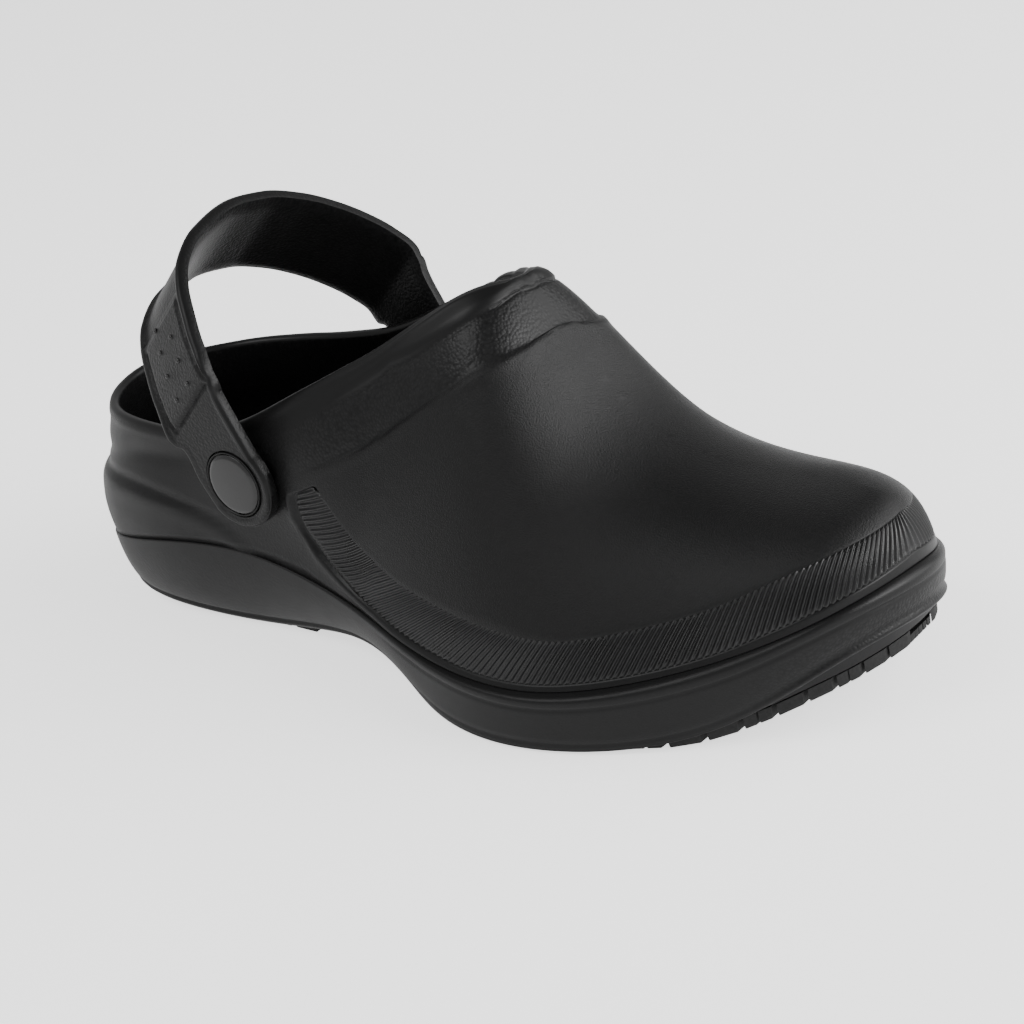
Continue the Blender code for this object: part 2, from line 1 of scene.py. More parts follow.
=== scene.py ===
"""Looks of a black moulded work clog, right foot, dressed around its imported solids.

Lengths in the classes are in millimetres and the meshes are in metres. +X runs from heel to toe, +Y to the
inner side of the foot and +Z up. The ring parameter w runs once round the shoe: -9 and 9 at the toe tip,
0 at the back of the heel, negative on the outer side. The profile parameter t runs from the foot of the
upper at 0 to the rim, or to the middle line of the vamp, at 1.
"""
from __future__ import annotations

import json
import logging
import math
from dataclasses import dataclass, field
from enum import Enum
from typing import Callable, NamedTuple, Sequence

import bmesh
import bpy
import numpy as np
from mathutils import Matrix, Vector

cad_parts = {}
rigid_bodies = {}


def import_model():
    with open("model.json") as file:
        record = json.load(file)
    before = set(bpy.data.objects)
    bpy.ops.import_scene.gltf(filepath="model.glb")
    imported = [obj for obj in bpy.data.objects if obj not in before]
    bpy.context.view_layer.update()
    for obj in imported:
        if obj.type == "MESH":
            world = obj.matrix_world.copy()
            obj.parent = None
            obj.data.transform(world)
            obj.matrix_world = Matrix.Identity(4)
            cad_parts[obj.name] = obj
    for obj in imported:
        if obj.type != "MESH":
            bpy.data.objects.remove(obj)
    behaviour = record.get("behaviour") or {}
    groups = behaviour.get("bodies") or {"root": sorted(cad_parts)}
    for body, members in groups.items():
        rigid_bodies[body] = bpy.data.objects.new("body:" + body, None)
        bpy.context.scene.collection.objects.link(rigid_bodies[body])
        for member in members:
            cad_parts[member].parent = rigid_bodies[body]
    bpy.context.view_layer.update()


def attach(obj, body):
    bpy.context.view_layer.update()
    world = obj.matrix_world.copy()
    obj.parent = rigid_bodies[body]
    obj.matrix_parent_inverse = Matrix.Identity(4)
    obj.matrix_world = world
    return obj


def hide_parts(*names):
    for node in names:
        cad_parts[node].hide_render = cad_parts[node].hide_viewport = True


LOG = logging.getLogger("clog")
MM = 0.001
SHIFT = (6.05, 5.05)
MERGE = 0.004
BODY = "root"
TINY = 1e-9
TONE_SPAN = (-0.3, 0.7)
BAND_START = (3.75, 4.2)
HEEL_END = (3.9, 4.6)
TOE_START = (7.0, 8.0)

Array = np.ndarray
Line = Sequence[tuple[float, float]]


class Side(Enum):
    """The two sides of the shoe, with the sign of their y."""

    LATERAL = -1
    MEDIAL = 1


class Mask(Enum):
    """Point attributes that tell a finish where a texture lies."""

    PEBBLE = "pebble"
    SPARK = "spark"


class SoleStation(NamedTuple):
    """One station of the sole, from the back of the heel to the toe tip."""

    lat_x: float
    lat_y: float
    lat_z: float
    med_x: float
    med_y: float
    med_z: float
    height: float
    inset: float
    step: float
    lean: float
    full: float


class RimStation(NamedTuple):
    """One station of the rim on the outer side."""

    x: float
    y: float
    z: float
    lean: float


class Crease(NamedTuple):
    """A soft trough or ridge along a named line, with the stations where it fades in and out."""

    line: str
    place: float
    width: float
    height: float
    fade_in: tuple[float, float] = (-2.0, -1.0)
    fade_out: tuple[float, float] = (98.0, 99.0)


class Lamp(NamedTuple):
    """One soft light: bearing from the toe and height in degrees, distance and size in metres, radiance."""

    name: str
    bearing: float
    height: float
    away: float
    size: tuple[float, float]
    radiance: float


def periodic_spline(values: Array, t: Array) -> Array:
    """Smooth closed curve through evenly spaced rows of values.

    Args:
        values: One row per station.
        t: Positions along the curve, one station apart at whole numbers.

    Returns:
        One row per position.
    """
    values = np.asarray(values, float)
    count = len(values)
    matrix = 4 * np.eye(count) + np.roll(np.eye(count), 1, 0) + np.roll(np.eye(count), -1, 0)
    bend = np.linalg.solve(matrix, 6 * (np.roll(values, -1, 0) - 2 * values + np.roll(values, 1, 0)))
    t = np.mod(np.asarray(t, float), count)
    low = np.floor(t).astype(int) % count
    high = (low + 1) % count
    b = (t - np.floor(t))[:, None]
    a = 1 - b
    curve = (a ** 3 - a) * bend[low] + (b ** 3 - b) * bend[high]
    return a * values[low] + b * values[high] + curve / 6


def open_spline(values: Array, t: Array) -> Array:
    """Smooth open curve through evenly spaced rows of values, straight at both ends.

    Args:
        values: One row per station.
        t: Positions along the curve, one station apart at whole numbers.

    Returns:
        One row per position.
    """
    values = np.asarray(values, float)
    count = len(values)
    matrix = 4 * np.eye(count) + np.eye(count, k=1) + np.eye(count, k=-1)
    right = np.zeros_like(values)
    right[1:-1] = 6 * (values[2:] - 2 * values[1:-1] + values[:-2])
    for end in (0, count - 1):
        matrix[end] = 0
        matrix[end, end] = 1
    bend = np.linalg.solve(matrix, right)
    t = np.clip(np.asarray(t, float), 0, count - 1)
    low = np.minimum(np.floor(t).astype(int), count - 2)
    b = (t - low)[:, None]
    a = 1 - b
    curve = (a ** 3 - a) * bend[low] + (b ** 3 - b) * bend[low + 1]
    return a * values[low] + b * values[low + 1] + curve / 6


def smooth_line(table: Line, x: Array) -> Array:
    """Curve through (x, value) rows that never overshoots them.

    Args:
        table: Rows of position and value.
        x: Positions to read.

    Returns:
        The value at each position.
    """
    knots = np.array([row[0] for row in table], float)
    values = np.array([row[1] for row in table], float)
    step = np.diff(knots)
    slope = np.diff(values) / step
    tangent = np.zeros(len(knots))
    for i in range(1, len(knots) - 1):
        if slope[i - 1] * slope[i] > 0:
            tangent[i] = 2 * slope[i - 1] * slope[i] / (slope[i - 1] + slope[i])
    tangent[0] = slope[0]
    tangent[-1] = slope[-1]
    x = np.clip(np.asarray(x, float), knots[0], knots[-1])
    i = np.clip(np.searchsorted(knots, x, side="right") - 1, 0, len(knots) - 2)
    b = (x - knots[i]) / step[i]
    low = values[i] * (1 + 2 * b) * (1 - b) ** 2 + values[i + 1] * b ** 2 * (3 - 2 * b)
    return low + step[i] * (tangent[i] * b * (1 - b) ** 2 - tangent[i + 1] * b ** 2 * (1 - b))


def ramp(x: Array, start: float, stop: float) -> Array:
    """Goes smoothly from 0 at start to 1 at stop."""
    f = np.clip((np.asarray(x, float) - start) / (stop - start), 0, 1)
    return f * f * (3 - 2 * f)


def bell(x: Array, width: float) -> Array:
    """Soft bump of height 1 at x = 0."""
    return np.exp(-0.5 * (np.asarray(x, float) / width) ** 2)


def crease_height(creases: Sequence[Crease], lines: dict[str, Array], station: Array) -> Array:
    """Height of all creases together, in millimetres.

    Args:
        creases: The troughs and ridges.
        lines: Distance of each point above each named line.
        station: Ring station of each point.

    Returns:
        One height per point.
    """
    height = np.zeros(())
    for crease in creases:
        fade = ramp(station, *crease.fade_in) * (1 - ramp(station, *crease.fade_out))
        height = height + crease.height * bell(lines[crease.line] - crease.place, crease.width) * fade
    return height


def grid_normals(grid: Array) -> Array:
    """Outward directions of a closed ring grid, shared where points coincide.

    Args:
        grid: Points by ring position and row.

    Returns:
        Unit directions in the same layout.
    """
    beside = np.roll(grid, -1, 0)
    face = np.cross(grid[:, 1:] - beside[:, :-1], beside[:, 1:] - grid[:, :-1])
    after = np.roll(face, 1, 0)
    total = np.zeros_like(grid)
    total[:, :-1] += face + after
    total[:, 1:] += face + after
    keys = np.round(grid.reshape(-1, 3), 3)
    same = np.unique(keys, axis=0, return_inverse=True)[1].reshape(-1)
    merged = np.zeros((same.max() + 1, 3))
    np.add.at(merged, same, total.reshape(-1, 3))
    normal = merged[same].reshape(grid.shape)
    return normal / np.maximum(np.linalg.norm(normal, axis=2), TINY)[:, :, None]


def bridge(ring: Array, columns: int, height: Callable[[Array], Array]) -> Array:
    """Grid across a closed ring, from its outer half to its inner half.

    Args:
        ring: Points round the shoe, starting at the toe tip.
        columns: Number of cells across.
        height: Gives the height of an inner point from its x.

    Returns:
        Points by station and column.
    """
    steps = len(ring)
    half = steps // 2
    lateral = ring[:half + 1]
    medial = ring[(steps - np.arange(half + 1)) % steps]
    share = np.linspace(0, 1, columns + 1)[None, :, None]
    grid = lateral[:, None] * (1 - share) + medial[:, None] * share
    grid[:, 1:-1, 2] = height(grid[:, 1:-1, 0])
    return grid


class MeshMaker:
    """Collects grids of points in millimetres with their masks and turns them into one object."""

    def __init__(self, name: str) -> None:
        """Starts an empty mesh of that name."""
        self.name = name
        self.points: list[Array] = []
        self.masks: dict[Mask, list[Array]] = {mask: [] for mask in Mask}
        self.faces: list[Array] = []
        self.count = 0

    def grid(self, rows: Array, closed: bool, pebble: Array | float = 0.0,
             spark: Array | float = 0.0) -> Array:
        """Adds a grid of points and the quads between neighbouring rows.

        Args:
            rows: Points by row and place in the row.
            closed: Whether each row is a closed ring.
            pebble: Share of leather grain, for all points or one per point.
            spark: Share of fine grain, for all points or one per point.

        Returns:
            Index of each point.
        """
        rows = np.asarray(rows, float)
        index = self.add(rows.reshape(-1, 3), pebble, spark).reshape(rows.shape[:2])
        beside = np.roll(index, -1, 1) if closed else index[:, 1:]
        here = index if closed else index[:, :-1]
        quads = np.stack([here[:-1], beside[:-1], beside[1:], here[1:]], -1)
        self.faces.append(quads.reshape(-1, 4))
        return index

    def add(self, points: Array, pebble: Array | float = 0.0, spark: Array | float = 0.0) -> Array:
        """Adds loose points and returns their indices."""
        points = np.asarray(points, float).reshape(-1, 3)
        index = np.arange(self.count, self.count + len(points))
        self.points.append(points)
        for mask, value in ((Mask.PEBBLE, pebble), (Mask.SPARK, spark)):
            self.masks[mask].append(np.broadcast_to(np.asarray(value, float).reshape(-1), (len(points),)))
        self.count += len(points)
        return index

    def fan(self, ring: Array) -> None:
        """Closes a ring of points with one face."""
        self.faces.append(np.asarray(ring)[None, :])

    def finish(self) -> bpy.types.Object:
        """Merges shared points, turns faces outwards and links the object."""
        data = bpy.data.meshes.new(self.name)
        points = np.concatenate(self.points)
        faces = [tuple(int(i) for i in face) for block in self.faces for face in block]
        place = (points + (*SHIFT, 0.0)) * MM
        data.from_pydata([tuple(p) for p in place], [], faces)
        for mask, blocks in self.masks.items():
            layer = data.attributes.new(mask.value, "FLOAT", "POINT")
            layer.data.foreach_set("value", np.concatenate(blocks).astype(np.float32))
        mesh = bmesh.new()
        mesh.from_mesh(data)
        bmesh.ops.remove_doubles(mesh, verts=mesh.verts, dist=MERGE * MM)
        bmesh.ops.dissolve_degenerate(mesh, edges=mesh.edges, dist=MERGE * MM)
        bmesh.ops.recalc_face_normals(mesh, faces=mesh.faces)
        mesh.to_mesh(data)
        mesh.free()
        data.shade_smooth()
        item = bpy.data.objects.new(self.name, data)
        bpy.context.scene.collection.objects.link(item)
        return item


@dataclass(frozen=True)
class Last:
    """The form of the shoe: outline of the sole, rim of the opening and middle line of the vamp."""

    sole: tuple[SoleStation, ...] = (
        SoleStation(-149, 0, 21, -149, 0, 21, 14, 3, 0.5, -8, 0.55),
        SoleStation(-138, -30, 22, -138, 29, 22, 18, 4, 0.5, -8, 0.55),
        SoleStation(-105, -43, 29, -105, 42, 29, 27, 8, 0.5, -6, 0.55),
        SoleStation(-64, -43, 31, -64, 42, 31, 29, 9, 0.5, 3, 0.55),
        SoleStation(-22, -47, 23, -22, 41, 23, 16.5, 6, 1.0, 5, 0.55),
        SoleStation(15, -59, 18, 24, 47, 18, 16, 1, 2.0, 20, 0.55),
        SoleStation(55, -62, 16.5, 66, 53, 16.5, 15.6, 0.8, 3.0, 24, 0.57),
        SoleStation(95, -46.5, 22.5, 101, 47, 21.5, 17.5, 1.5, 3.0, 20, 0.63),
        SoleStation(126, -27, 34, 126, 29, 29, 13.5, 2, 1.6, 8, 0.80),
        SoleStation(137, 4, 35.5, 137, 4, 35.5, 12.5, 1.5, 2.5, 6, 0.82),
    )
    rim: tuple[RimStation, ...] = (
        RimStation(-141, 0, 64, 8),
        RimStation(-130, -25, 64, 8),
        RimStation(-103, -37, 65, 10),
        RimStation(-64, -39, 69, 14),
        RimStation(-17, -31, 90, 40),
        RimStation(26, 0, 106, 90),
    )
    spine: tuple[tuple[float, float, float], ...] = (
        (-26, 0, 142), (0, 0, 114), (26, 0, 108), (48, 2, 76), (76, 4, 59), (102, 6, 56), (119.5, 6, 55),
    )
    spine_start: int = 3
    toe_ease: float = 1.5
    inner_rise: Line = ((3, 0), (3.75, 23.7), (4.2, 9.7), (4.5, 1.6), (4.75, -1.4), (5, 0))
    trim_span: tuple[float, float] = (3.6, 4.3)
    near_outline: float = 0.001
    near_spine: float = 0.01
    least_run: float = 1e-5
    trim_from: float = 2.5
    trim_steps: int = 241
    rim_steps: int = 300
    inner_drop: Line = ((0, 0), (0.6, -1.6), (1.25, -2.5), (1.75, -2.6), (2.25, -1.8), (2.75, -0.8),
                        (5, -1.3))
    fullness: float = 0.55
    ledge_slope: float = 0.3
    tread: Line = ((-150, 6), (-128, 1.2), (-112, 0), (-58, 0), (-24, 4.5), (-2, 4.5), (28, 0), (86, 0),
                   (96, 1.9), (110, 7), (120, 11.2), (128, 14), (140, 18))
    footbed: Line = ((-142, 27), (-105, 25), (-62, 25), (-22, 19.5), (20, 14.5), (60, 12.5), (92, 16),
                     (128, 27))
    wall: float = 4.4
    wall_rim: float = 3.2
    side_bulge: float = 0.12
    side_waist: float = 0.35
    lip_width: float = 1.2
    recess_draft: float = 0.4
    plate: float = 2.0
    lug_depth: float = 2.0
    gap: float = 0.3

    @property
    def end(self) -> int:
        """Ring parameter of the toe tip."""
        return len(self.sole) - 1

    @property
    def throat(self) -> int:
        """Ring parameter of the front of the opening."""
        return len(self.rim) - 1

    def column(self, name: str) -> Array:
        """One column of the sole stations."""
        return np.array([getattr(row, name) for row in self.sole], float)

    def ring_values(self, lateral: Sequence[Array], medial: Sequence[Array], w: Array) -> Array:
        """Closed curve through columns for the outer and the inner side."""
        first = np.stack(lateral, 1)
        second = np.stack(medial, 1)
        w = np.asarray(w, float)
        place = np.where(w <= 0, -w, 2 * self.end - w)
        return periodic_spline(np.concatenate([first, second[-2:0:-1]]), place)

    def value(self, name: str, w: Array) -> Array:
        """A column that is the same on both sides, at ring parameters w."""
        values = self.column(name)
        return self.ring_values([values], [values], w)[:, 0]

    def outline(self, w: Array) -> tuple[Array, Array]:
        """Points of the sole's outline and the level direction into the shoe."""
        w = np.asarray(w, float)
        lateral = [self.column("lat_x"), self.column("lat_y")]
        medial = [self.column("med_x"), self.column("med_y")]
        ahead = self.ring_values(lateral, medial, w + self.near_outline)
        along = ahead - self.ring_values(lateral, medial, w - self.near_outline)
        along /= np.linalg.norm(along, axis=1)[:, None]
        return self.ring_values(lateral, medial, w), np.stack([along[:, 1], -along[:, 0]], 1)

    def inset_ring(self, w: Array, inset: Array | float, z: Array) -> Array:
        """Ring of points moved into the shoe from the outline, at heights z."""
        points, inward = self.outline(w)
        return np.column_stack([points + inward * np.asarray(inset, float).reshape(-1, 1), z])

    def ledge(self, w: Array) -> Array:
        """Height of the sole's top edge."""
        return self.ring_values([self.column("lat_z")], [self.column("med_z")], w)[:, 0]

    def foot_ring(self, w: Array) -> Array:
        """Where the upper starts, on top of the sole's ledge."""
        step = self.value("step", w)
        return self.inset_ring(w, step, self.ledge(w) + self.ledge_slope * step)

    def spine_point(self, w: Array) -> Array:
        """Points of the vamp's middle line, carried on over the opening behind the throat."""
        station = np.abs(w)
        left = np.clip((self.end - station) / self.toe_ease, 0, 1)
        eased = self.end - self.toe_ease * left ** 2 * (2 - left)
        station = np.where(station > self.end - self.toe_ease, eased, station)
        points = open_spline(np.array(self.spine, float), station - self.spine_start)
        points[:, 2] += np.where(np.asarray(w) > 0, smooth_line(self.inner_rise, np.abs(w)), 0)
        return points

    def rim_point(self, w: Array) -> Array:
        """Points of the rim with their lean, held at the throat for stations beyond it."""
        w = np.clip(np.asarray(w, float), -self.throat, self.throat)
        lateral = np.array(self.rim, float)
        medial = lateral * (1, -1, 1, 1)
        ring = np.where(w <= 0, -w, 2 * self.throat - w)
        rim = periodic_spline(np.concatenate([lateral, medial[-2:0:-1]]), ring)
        rim[:, 2] += np.where(w > 0, smooth_line(self.inner_drop, np.abs(w)), 0)
        return rim

    def profile(self, w: Array, t: Array, end: Array, lean: Array, slope: Array) -> Array:
        """Profiles from the foot of the upper to given ends.

        Args:
            w: Ring parameters.
            t: Profile parameters, one row each.
            end: End point of each profile.
            lean: Lean of each profile at its end, in radians.
            slope: Fall of the surface along the shoe at each end.

        Returns:
            Points by ring position and profile row.
        """
        start = self.foot_ring(w)
        inward = self.outline(w)[1]
        lean_start = np.radians(self.value("lean", w))
        rise = np.maximum(end[:, 2] - start[:, 2], 1)
        flat = end[:, :2] - start[:, :2]
        run = np.linalg.norm(flat, axis=1)
        share = np.sin(lean)[:, None]
        level = flat / run[:, None] * share + inward * (1 - share)
        level /= np.linalg.norm(level, axis=1)[:, None]
        first = np.column_stack([inward * np.sin(lean_start)[:, None], np.cos(lean_start)])
        last = np.column_stack([level * share, np.cos(lean) + slope * level[:, 0] * share[:, 0]])
        near = start + first * (self.value("full", w) * rise)[:, None]
        far = end - last * (self.fullness * (share[:, 0] * run + np.cos(lean) * rise))[:, None]
        t = t[:, :, None]
        s = 1 - t
        middle = 3 * s * s * t * near[:, None] + 3 * s * t * t * far[:, None]
        return s ** 3 * start[:, None] + middle + t ** 3 * end[:, None]

    def closed_profile(self, w: Array, t: Array) -> Array:
        """Profiles that run on to the middle line, as if the throat were closed."""
        end = self.spine_point(w)
        small = np.where(np.asarray(w) > 0, self.near_spine, -self.near_spine)
        ahead = self.spine_point(w + small) - self.spine_point(w - small)
        slope = ahead[:, 2] / np.maximum(ahead[:, 0], self.least_run)
        return self.profile(w, t, end, np.full(len(end), math.pi / 2), slope)

    def trim(self, w: Array) -> Array:
        """Share of each closed profile that lies outside the opening."""
        fine = np.linspace(0, 1, self.trim_steps)
        grid = self.closed_profile(w, np.broadcast_to(fine, (len(w), len(fine))))
        rim = self.rim_point(-np.linspace(self.trim_from, self.throat, self.rim_steps))
        limit = np.interp(grid[:, :, 0], rim[:, 0], -rim[:, 1], right=-1.0)
        over = np.abs(grid[:, :, 1]) - limit
        hit = np.argmax(over < 0, axis=1)
        rows = np.arange(len(w))
        before = over[rows, np.maximum(hit - 1, 0)]
        part = before / np.maximum(before - over[rows, hit], TINY)
        cut = fine[np.maximum(hit - 1, 0)] + part * fine[1]
        return np.where((over < 0).any(1) & (np.abs(w) < self.throat), cut, 1.0)

    def upper(self, w: Array, t: Array) -> Array:
        """Outer face of the upper.

        Args:
            w: Ring parameters.
            t: Profile parameters, one row for all profiles or one row each.

        Returns:
            Points by ring position and profile row.
        """
        w = np.asarray(w, float)
        t = np.broadcast_to(np.asarray(t, float), (len(w), np.shape(t)[-1]))
        rim = self.rim_point(w)
        lean = np.radians(np.clip(rim[:, 3], 0, 90))
        behind = self.profile(w, t, rim[:, :3], lean, np.zeros(len(w)))
        ahead = self.closed_profile(w, t * self.trim(w)[:, None])
        share = ramp(np.abs(w), *self.trim_span)[:, None, None]
        return behind + (ahead - behind) * share

    def tread_height(self, x: Array) -> Array:
        """Bottom of the lugs along the shoe."""
        return smooth_line(self.tread, x)

    def plate_top(self, x: Array) -> Array:
        """Top of the outsole's plate along the shoe."""
        return self.tread_height(x) + self.lug_depth + self.plate

    def ceiling(self, x: Array) -> Array:
        """Underside of the midsole above the outsole's plate."""
        return self.plate_top(x) + self.gap

    def footbed_height(self, x: Array) -> Array:
        """Top of the footbed along the shoe."""
        return smooth_line(self.footbed, x)

    def inner_wall(self, w: Array, t: Array) -> Array:
        """Inner face of the upper, set in from the outer face by the wall."""
        grid = self.upper(w, t)
        thick = self.wall + (self.wall_rim - self.wall) * np.asarray(t, float)
        return grid - grid_normals(grid) * thick[None, :, None]

    def footbed_ring(self, w: Array, inner: Array, inset: float, lift: float) -> Array:
        """Ring inside the shoe, moved in from the foot of the inner wall."""
        ring = inner[:, 0].copy()
        ring[:, :2] += self.outline(w)[1] * inset
        ring[:, 2] = self.footbed_height(ring[:, 0]) + lift
        return ring


@dataclass(frozen=True)
class Columns:
    """Ring positions of a fine mesh, denser where the relief needs them."""

    plan: tuple[tuple[float, float, int], ...] = (
        (0, 3.5, 100), (3.5, 3.95, 38), (3.95, 4.8, 36), (4.8, 4.95, 14), (4.95, 5, 12), (5, 5.13, 20),
        (5.13, 5.5, 28), (5.5, 9, 102),
    )

    def ring(self) -> Array:
        """Ring parameters from the toe tip round the outer side, the heel and the inner side."""
        half = np.concatenate([np.linspace(a, b, n, endpoint=False) for a, b, n in self.plan])
        return np.concatenate([[-self.plan[-1][1]], -half[:0:-1], half])


# Finishes and shader groups


class ShaderGroup:
    """A shader group of values that is built on first use."""

    NAME = ""
    INPUTS: tuple[str, ...] = ()
    OUTPUTS: tuple[str, ...] = ()

    @classmethod
    def get(cls) -> bpy.types.NodeTree:
        """The group, with its sockets and nodes."""
        tree = bpy.data.node_groups.get(cls.NAME)
        if tree is None:
            tree = bpy.data.node_groups.new(cls.NAME, "ShaderNodeTree")
            for way, names in (("INPUT", cls.INPUTS), ("OUTPUT", cls.OUTPUTS)):
                for name in names:
                    tree.interface.new_socket(name, in_out=way, socket_type="NodeSocketFloat")
            cls._fill(tree)
        return tree

    @classmethod
    def _fill(cls, tree: bpy.types.NodeTree) -> None:
        """Adds the group's nodes."""
        raise NotImplementedError


class GrainGroup(ShaderGroup):
    """Shader group of the moulded grain: leather pebbles and fine spark grain as height and tone."""

    NAME = "moulded_grain"
    INPUTS = ("Pebble Scale", "Pebble Height", "Spark Scale", "Spark Height", "Pebble Mask", "Spark Mask")
    OUTPUTS = ("Height", "Tone")
    CELL_SMOOTHNESS = 0.35
    CELL_REACH = 0.7
    NOISE_DETAIL = 3.0
    NOISE_ROUGHNESS = 0.6

    @classmethod
    def _fill(cls, tree: bpy.types.NodeTree) -> None:
        """Adds the group's nodes."""
        nodes = tree.nodes
        links = tree.links
        source = nodes.new("NodeGroupInput")
        result = nodes.new("NodeGroupOutput")
        place = nodes.new("ShaderNodeTexCoord").outputs["Object"]

        def math_node(kind: str, first: object, second: object) -> bpy.types.NodeSocket:
            """Adds a math node and links or sets its two inputs."""
            node = nodes.new("ShaderNodeMath")
            node.operation = kind
            for socket, value in zip(node.inputs, (first, second)):
                if isinstance(value, (int, float)):
                    socket.default_value = value
                else:
                    links.new(value, socket)
            return node.outputs[0]

        cells = nodes.new("ShaderNodeTexVoronoi")
        cells.feature = "SMOOTH_F1"
        cells.inputs["Smoothness"].default_value = cls.CELL_SMOOTHNESS
        links.new(place, cells.inputs["Vector"])
        links.new(source.outputs["Pebble Scale"], cells.inputs["Scale"])
        pebble = math_node("SUBTRACT", cls.CELL_REACH, cells.outputs["Distance"])
        noise = nodes.new("ShaderNodeTexNoise")
        noise.inputs["Detail"].default_value = cls.NOISE_DETAIL
        noise.inputs["Roughness"].default_value = cls.NOISE_ROUGHNESS
        links.new(place, noise.inputs["Vector"])
        links.new(source.outputs["Spark Scale"], noise.inputs["Scale"])
        spark = math_node("SUBTRACT", noise.outputs["Fac"], 0.5)
        pebble_share = math_node("MULTIPLY", pebble, source.outputs["Pebble Mask"])
        spark_share = math_node("MULTIPLY", spark, source.outputs["Spark Mask"])
        high = math_node("MULTIPLY", pebble_share, source.outputs["Pebble Height"])
        low = math_node("MULTIPLY", spark_share, source.outputs["Spark Height"])
        links.new(math_node("ADD", high, low), result.inputs["Height"])
        links.new(math_node("ADD", pebble_share, spark_share), result.inputs["Tone"])


class CloudGroup(ShaderGroup):
    """Shader group of slow changes over a moulded surface, for its gloss."""

    NAME = "slow_cloud"
    INPUTS = ("Scale", "Low", "High")
    OUTPUTS = ("Value",)
    NOISE_DETAIL = 4.0
    NOISE_SPAN = (0.3, 0.7)

    @classmethod
    def _fill(cls, tree: bpy.types.NodeTree) -> None:
        """Adds the group's nodes."""
        nodes = tree.nodes
        links = tree.links
        source = nodes.new("NodeGroupInput")
        result = nodes.new("NodeGroupOutput")
        noise = nodes.new("ShaderNodeTexNoise")
        noise.inputs["Detail"].default_value = cls.NOISE_DETAIL
        links.new(nodes.new("ShaderNodeTexCoord").outputs["Object"], noise.inputs["Vector"])
        links.new(source.outputs["Scale"], noise.inputs["Scale"])
        spread = nodes.new("ShaderNodeMapRange")
        spread.inputs["From Min"].default_value = cls.NOISE_SPAN[0]
        spread.inputs["From Max"].default_value = cls.NOISE_SPAN[1]
        links.new(noise.outputs["Fac"], spread.inputs["Value"])
        links.new(source.outputs["Low"], spread.inputs["To Min"])
        links.new(source.outputs["High"], spread.inputs["To Max"])
        links.new(spread.outputs["Result"], result.inputs["Value"])


@dataclass(frozen=True)
class Finish:
    """A moulded black finish: its colours, gloss and grain."""

    name: str
    dark: tuple[float, float, float]
    light: tuple[float, float, float]
    rough_low: float
    rough_high: float
    pebble_size: float = 0.9
    pebble_height: float = 0.11
    spark_size: float = 0.45
    spark_height: float = 0.2
    specular: float = 0.5
    coat: float = 0.0
    coat_roughness: float = 0.1
    cloud_size: float = 18.0
    masked: bool = True

    def material(self) -> bpy.types.Material:
        """Builds the material, with the shader's constants on its own sockets."""
        material = bpy.data.materials.new(self.name)
        material.use_nodes = True
        nodes = material.node_tree.nodes
        links = material.node_tree.links
        shader = nodes["Principled BSDF"]
        shader.inputs["Specular IOR Level"].default_value = self.specular
        shader.inputs["Coat Weight"].default_value = self.coat
        shader.inputs["Coat Roughness"].default_value = self.coat_roughness
        grain = nodes.new("ShaderNodeGroup")
        grain.node_tree = GrainGroup.get()
        grain.inputs["Pebble Scale"].default_value = 1 / (self.pebble_size * MM)
        grain.inputs["Pebble Height"].default_value = self.pebble_height * MM
        grain.inputs["Spark Scale"].default_value = 1 / (self.spark_size * MM)
        grain.inputs["Spark Height"].default_value = self.spark_height * MM
        for mask, socket in ((Mask.PEBBLE, "Pebble Mask"), (Mask.SPARK, "Spark Mask")):
            grain.inputs[socket].default_value = 1.0
            if self.masked:
                reader = nodes.new("ShaderNodeAttribute")
                reader.attribute_name = mask.value
                links.new(reader.outputs["Fac"], grain.inputs[socket])
        bump = nodes.new("ShaderNodeBump")
        bump.inputs["Strength"].default_value = 1.0
        bump.inputs["Distance"].default_value = 1.0
        links.new(grain.outputs["Height"], bump.inputs["Height"])
        links.new(bump.outputs["Normal"], shader.inputs["Normal"])
        gloss = nodes.new("ShaderNodeGroup")
        gloss.node_tree = CloudGroup.get()
        gloss.inputs["Scale"].default_value = 1 / (self.cloud_size * MM)
        gloss.inputs["Low"].default_value = self.rough_low
        gloss.inputs["High"].default_value = self.rough_high
        links.new(gloss.outputs["Value"], shader.inputs["Roughness"])
        tone = nodes.new("ShaderNodeMix")
        tone.data_type = "RGBA"
        tone.inputs["A"].default_value = (*self.dark, 1)
        tone.inputs["B"].default_value = (*self.light, 1)
        spread = nodes.new("ShaderNodeMapRange")
        spread.inputs["From Min"].default_value = TONE_SPAN[0]
        spread.inputs["From Max"].default_value = TONE_SPAN[1]
        links.new(grain.outputs["Tone"], spread.inputs["Value"])
        links.new(spread.outputs["Result"], tone.inputs["Factor"])
        links.new(tone.outputs["Result"], shader.inputs["Base Color"])
        return material


FOAM = Finish("foam_black", (0.003, 0.003, 0.0031), (0.010, 0.010, 0.0102), 0.33, 0.41, specular=0.24)
RIB = Finish("rib_half_gloss", (0.005, 0.005, 0.0051), (0.010, 0.010, 0.0102), 0.26, 0.32, masked=False,
             pebble_height=0.0, spark_height=0.05, specular=0.48)
RUBBER = Finish("rubber_black", (0.006, 0.006, 0.006), (0.012, 0.012, 0.012), 0.50, 0.62, masked=False,
                pebble_height=0.03, spark_height=0.05, specular=0.25)
INSOLE = Finish("insole_black", (0.006, 0.006, 0.006), (0.014, 0.014, 0.014), 0.55, 0.65, masked=False,
                pebble_height=0.05, spark_height=0.08, specular=0.2)
RIVET = Finish("rivet_black", (0.004, 0.004, 0.004), (0.007, 0.007, 0.007), 0.25, 0.32, masked=False,
               pebble_height=0.0, spark_height=0.015, specular=0.2)
